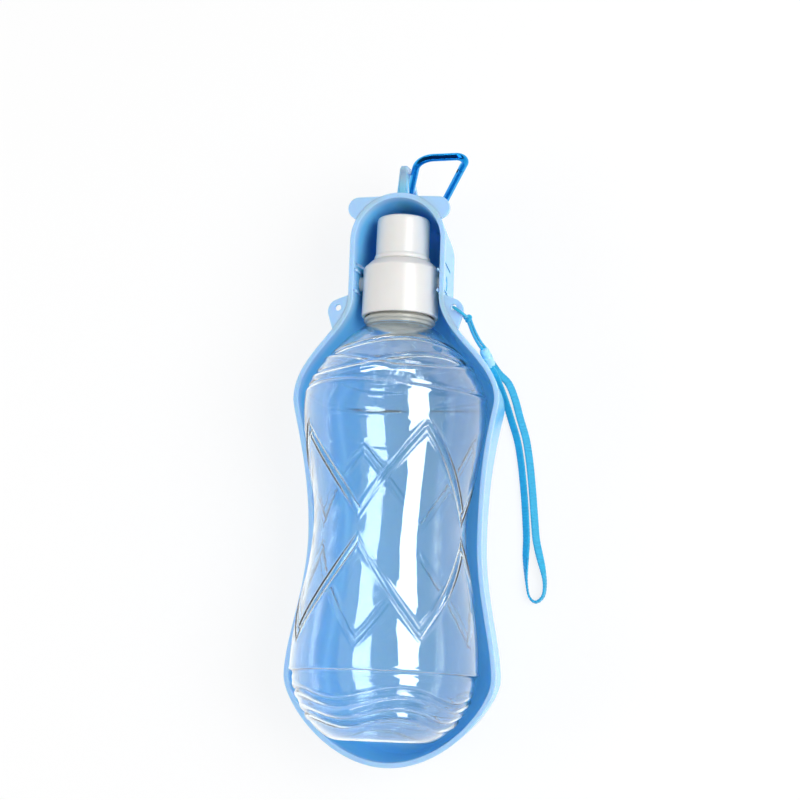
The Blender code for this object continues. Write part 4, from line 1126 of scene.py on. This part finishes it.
# %% Cord and knot
CORD_D = 1.2
KNOT_AT = np.array((28.3, -14.67, 41.2))
EYE_WAY = np.array((0.816, -0.578))
EYE = (
    (5.5, 43.4), (5.75, 44.9), (5.8, 46.4), (4.95, 48.4), (2.9, 49.3), (0.85, 48.4),
    (0.0, 46.4), (0.3, 44.4), (1.4, 42.9), (3.0, 42.1), (4.0, 42.1),
)
TWIN = np.array((
    (28.45, -15.1, 38.9), (28.6, -15.9, 36.5), (28.9, -18.0, 31.0),
    (29.4, -19.9, 25.5), (30.1, -21.6, 20.5), (30.83, -22.6, 17.95), (31.2, -23.7, 16.3),
))
beside = np.array((0.578, 0.816, 0.0)) * 0.66
eye = [(TAB_HOLE[0] + EYE_WAY[0] * a, TAB_HOLE[1] + EYE_WAY[1] * a, z) for a, z in EYE]
cord_knots = np.vstack([TWIN[::-1] + beside, [KNOT_AT + beside], eye, [KNOT_AT - beside], TWIN - beside])
cord_way = smooth_way(cord_knots, 150)

cord_curve = bpy.data.curves.new("lanyard_cord_thin", "CURVE")
cord_curve.dimensions = "3D"
cord_curve.bevel_depth = CORD_D / 2 * MM
cord_curve.bevel_resolution = 3
cord_curve.use_fill_caps = True
add_line(cord_curve, cord_way).use_smooth = True
cord = piece("lanyard_cord_thin", cord_curve, nylon, "trough", "webbing", "lanyard_cord", "lanyard_eye")
t = np.linspace(0, 2 * math.pi, 120, endpoint=False)
wound = np.stack([np.sin(t) + 2 * np.sin(2 * t), np.cos(t) - 2 * np.cos(2 * t), -1.2 * np.sin(3 * t)], axis=1)
knot_mesh = swept("knot", wound * 0.42 + KNOT_AT, circle(0.6, 12), closed=True)
knot = piece("lanyard_knot_wound", knot_mesh, nylon, "trough", "webbing", "lanyard_knot")

# %% Coupling bead
bead_blue, tree, shader = finish_of(
    "polyethylene_pale_blue", Roughness=0.3, IOR=1.51, Subsurface_Weight=0.25, Subsurface_Scale=1.0 * MM
)
cloudy(tree, shader, millimetres(tree), 0.4, 2.0, "#9fdaf2", "#b4e4f7")

COUPLING_HIGH = Vector((30.9, -22.8, 17.6))
COUPLING_LOW = Vector((32.6, -28.4, 9.2))
coupling_way = (COUPLING_LOW - COUPLING_HIGH).normalized()
coupling_length = (COUPLING_LOW - COUPLING_HIGH).length
bead_line = [
    (0.0, 0.1), (1.35, 0.1), (2.05, 2.2), (2.05, 3.6), (1.8, 3.9), (1.8, 4.5), (2.25, 4.9),
    (2.25, coupling_length - 0.1), (0.0, coupling_length - 0.1),
]
bead_turn = coupling_way.to_track_quat("Z", "Y").to_matrix().to_4x4()
bead_place = shift(*COUPLING_HIGH) @ bead_turn
bead_mesh = turned("bead", rounded(bead_line, 0.3, 4), 40, 50)
bead = piece(
    "lanyard_coupling_bead", bead_mesh, bead_blue, "trough", "coupling", "lanyard_coupling", place=bead_place
)

# %% [markdown]
# ## The wrist strap
# Narrow flat webbing: it leaves the coupling, lies flat on the table, turns over on its
# edge at the far end and comes back beside itself. The path is the cord's route in the
# CAD model. A flat ring with ribbed faces is swept along it, and it twists at the turn.

# %% Wrist strap
STRAP_WIDTH, STRAP_THICK, RIB_PITCH = 3.2, 0.9, 1.3
STRAP = (
    (32.2, -26.95, 10.7), (32.7, -27.3, 8.0), (33.7, -28.9, 4.9), (35.6, -31.4, 2.5), (39.2, -35.0, 1.6),
    (42.0, -41.2, 1.6), (44.5, -49.6, 1.6), (47.1, -57.9, 1.6), (48.7, -66.3, 1.6),
    (49.8, -74.6, 1.6), (50.7, -82.8, 1.6), (51.5, -91.0, 1.6), (52.4, -99.2, 1.6),
    (53.8, -105.5, 1.6), (55.4, -111.5, 1.6), (56.4, -117.3, 1.6), (55.8, -122.4, 1.6),
    (52.9, -124.9, 1.6), (50.2, -122.9, 1.6), (49.0, -118.0, 1.6), (48.5, -112.5, 1.6),
    (48.3, -106.0, 1.6), (48.4, -99.4, 1.6), (47.9, -91.4, 1.6), (47.2, -83.2, 1.6),
    (46.3, -75.2, 1.6), (45.2, -67.1, 1.6), (43.6, -58.9, 1.6), (41.0, -50.8, 1.6),
    (38.6, -43.6, 1.6), (36.4, -37.6, 2.8), (35.0, -33.9, 5.8), (33.9, -31.4, 8.5),
    (33.0, -30.2, 9.9), (32.3, -28.2, 11.5),
)
strap_way = smooth_way(STRAP, 760)
run = run_along(strap_way)
turn_at = run[np.argmin(strap_way[:, 1])]
on_edge = np.exp(-(((run - turn_at) / 17.0) ** 4))
near_bead = np.clip(1 - np.minimum(run, run[-1] - run) / 12.0, 0, 1)
tangent = unit(np.gradient(strap_way, axis=0))
level = unit(np.cross(tangent, (0.0, 0.0, 1.0)))
lean = (0.42 + 1.02 * on_edge - 0.42 * near_bead)[:, None]
across_way = level * np.cos(lean) + np.cross(level, tangent) * np.sin(lean)
face_way = np.cross(across_way, tangent)
half_ring = np.array(
    [(-1.0, 0.0), (-0.96, 0.6), (-0.8, 1.0), (-0.4, 1.0), (0.0, 1.0), (0.4, 1.0), (0.8, 1.0), (0.96, 0.6)]
)
strap_ring = np.vstack([half_ring, -half_ring])
rib = 1 + 0.16 * np.cos(2 * math.pi * run / RIB_PITCH)
edge = 1 + 0.02 * np.cos(2 * math.pi * run / RIB_PITCH)
points = (
    strap_way[:, None]
    + across_way[:, None] * (strap_ring[None, :, :1] * STRAP_WIDTH / 2 * edge[:, None, None])
    + face_way[:, None] * (strap_ring[None, :, 1:] * STRAP_THICK / 2 * rib[:, None, None])
)
strap_mesh = edited(skin("strap", points * MM, close_v=True), fill_holes)
strap = piece("lanyard_wrist_strap", strap_mesh, nylon, "trough", "webbing", "lanyard_strap")

# %% Say what the cords are
print("strap", round(length_of(strap_way)), "mm, cord", round(length_of(cord_way)), "mm")
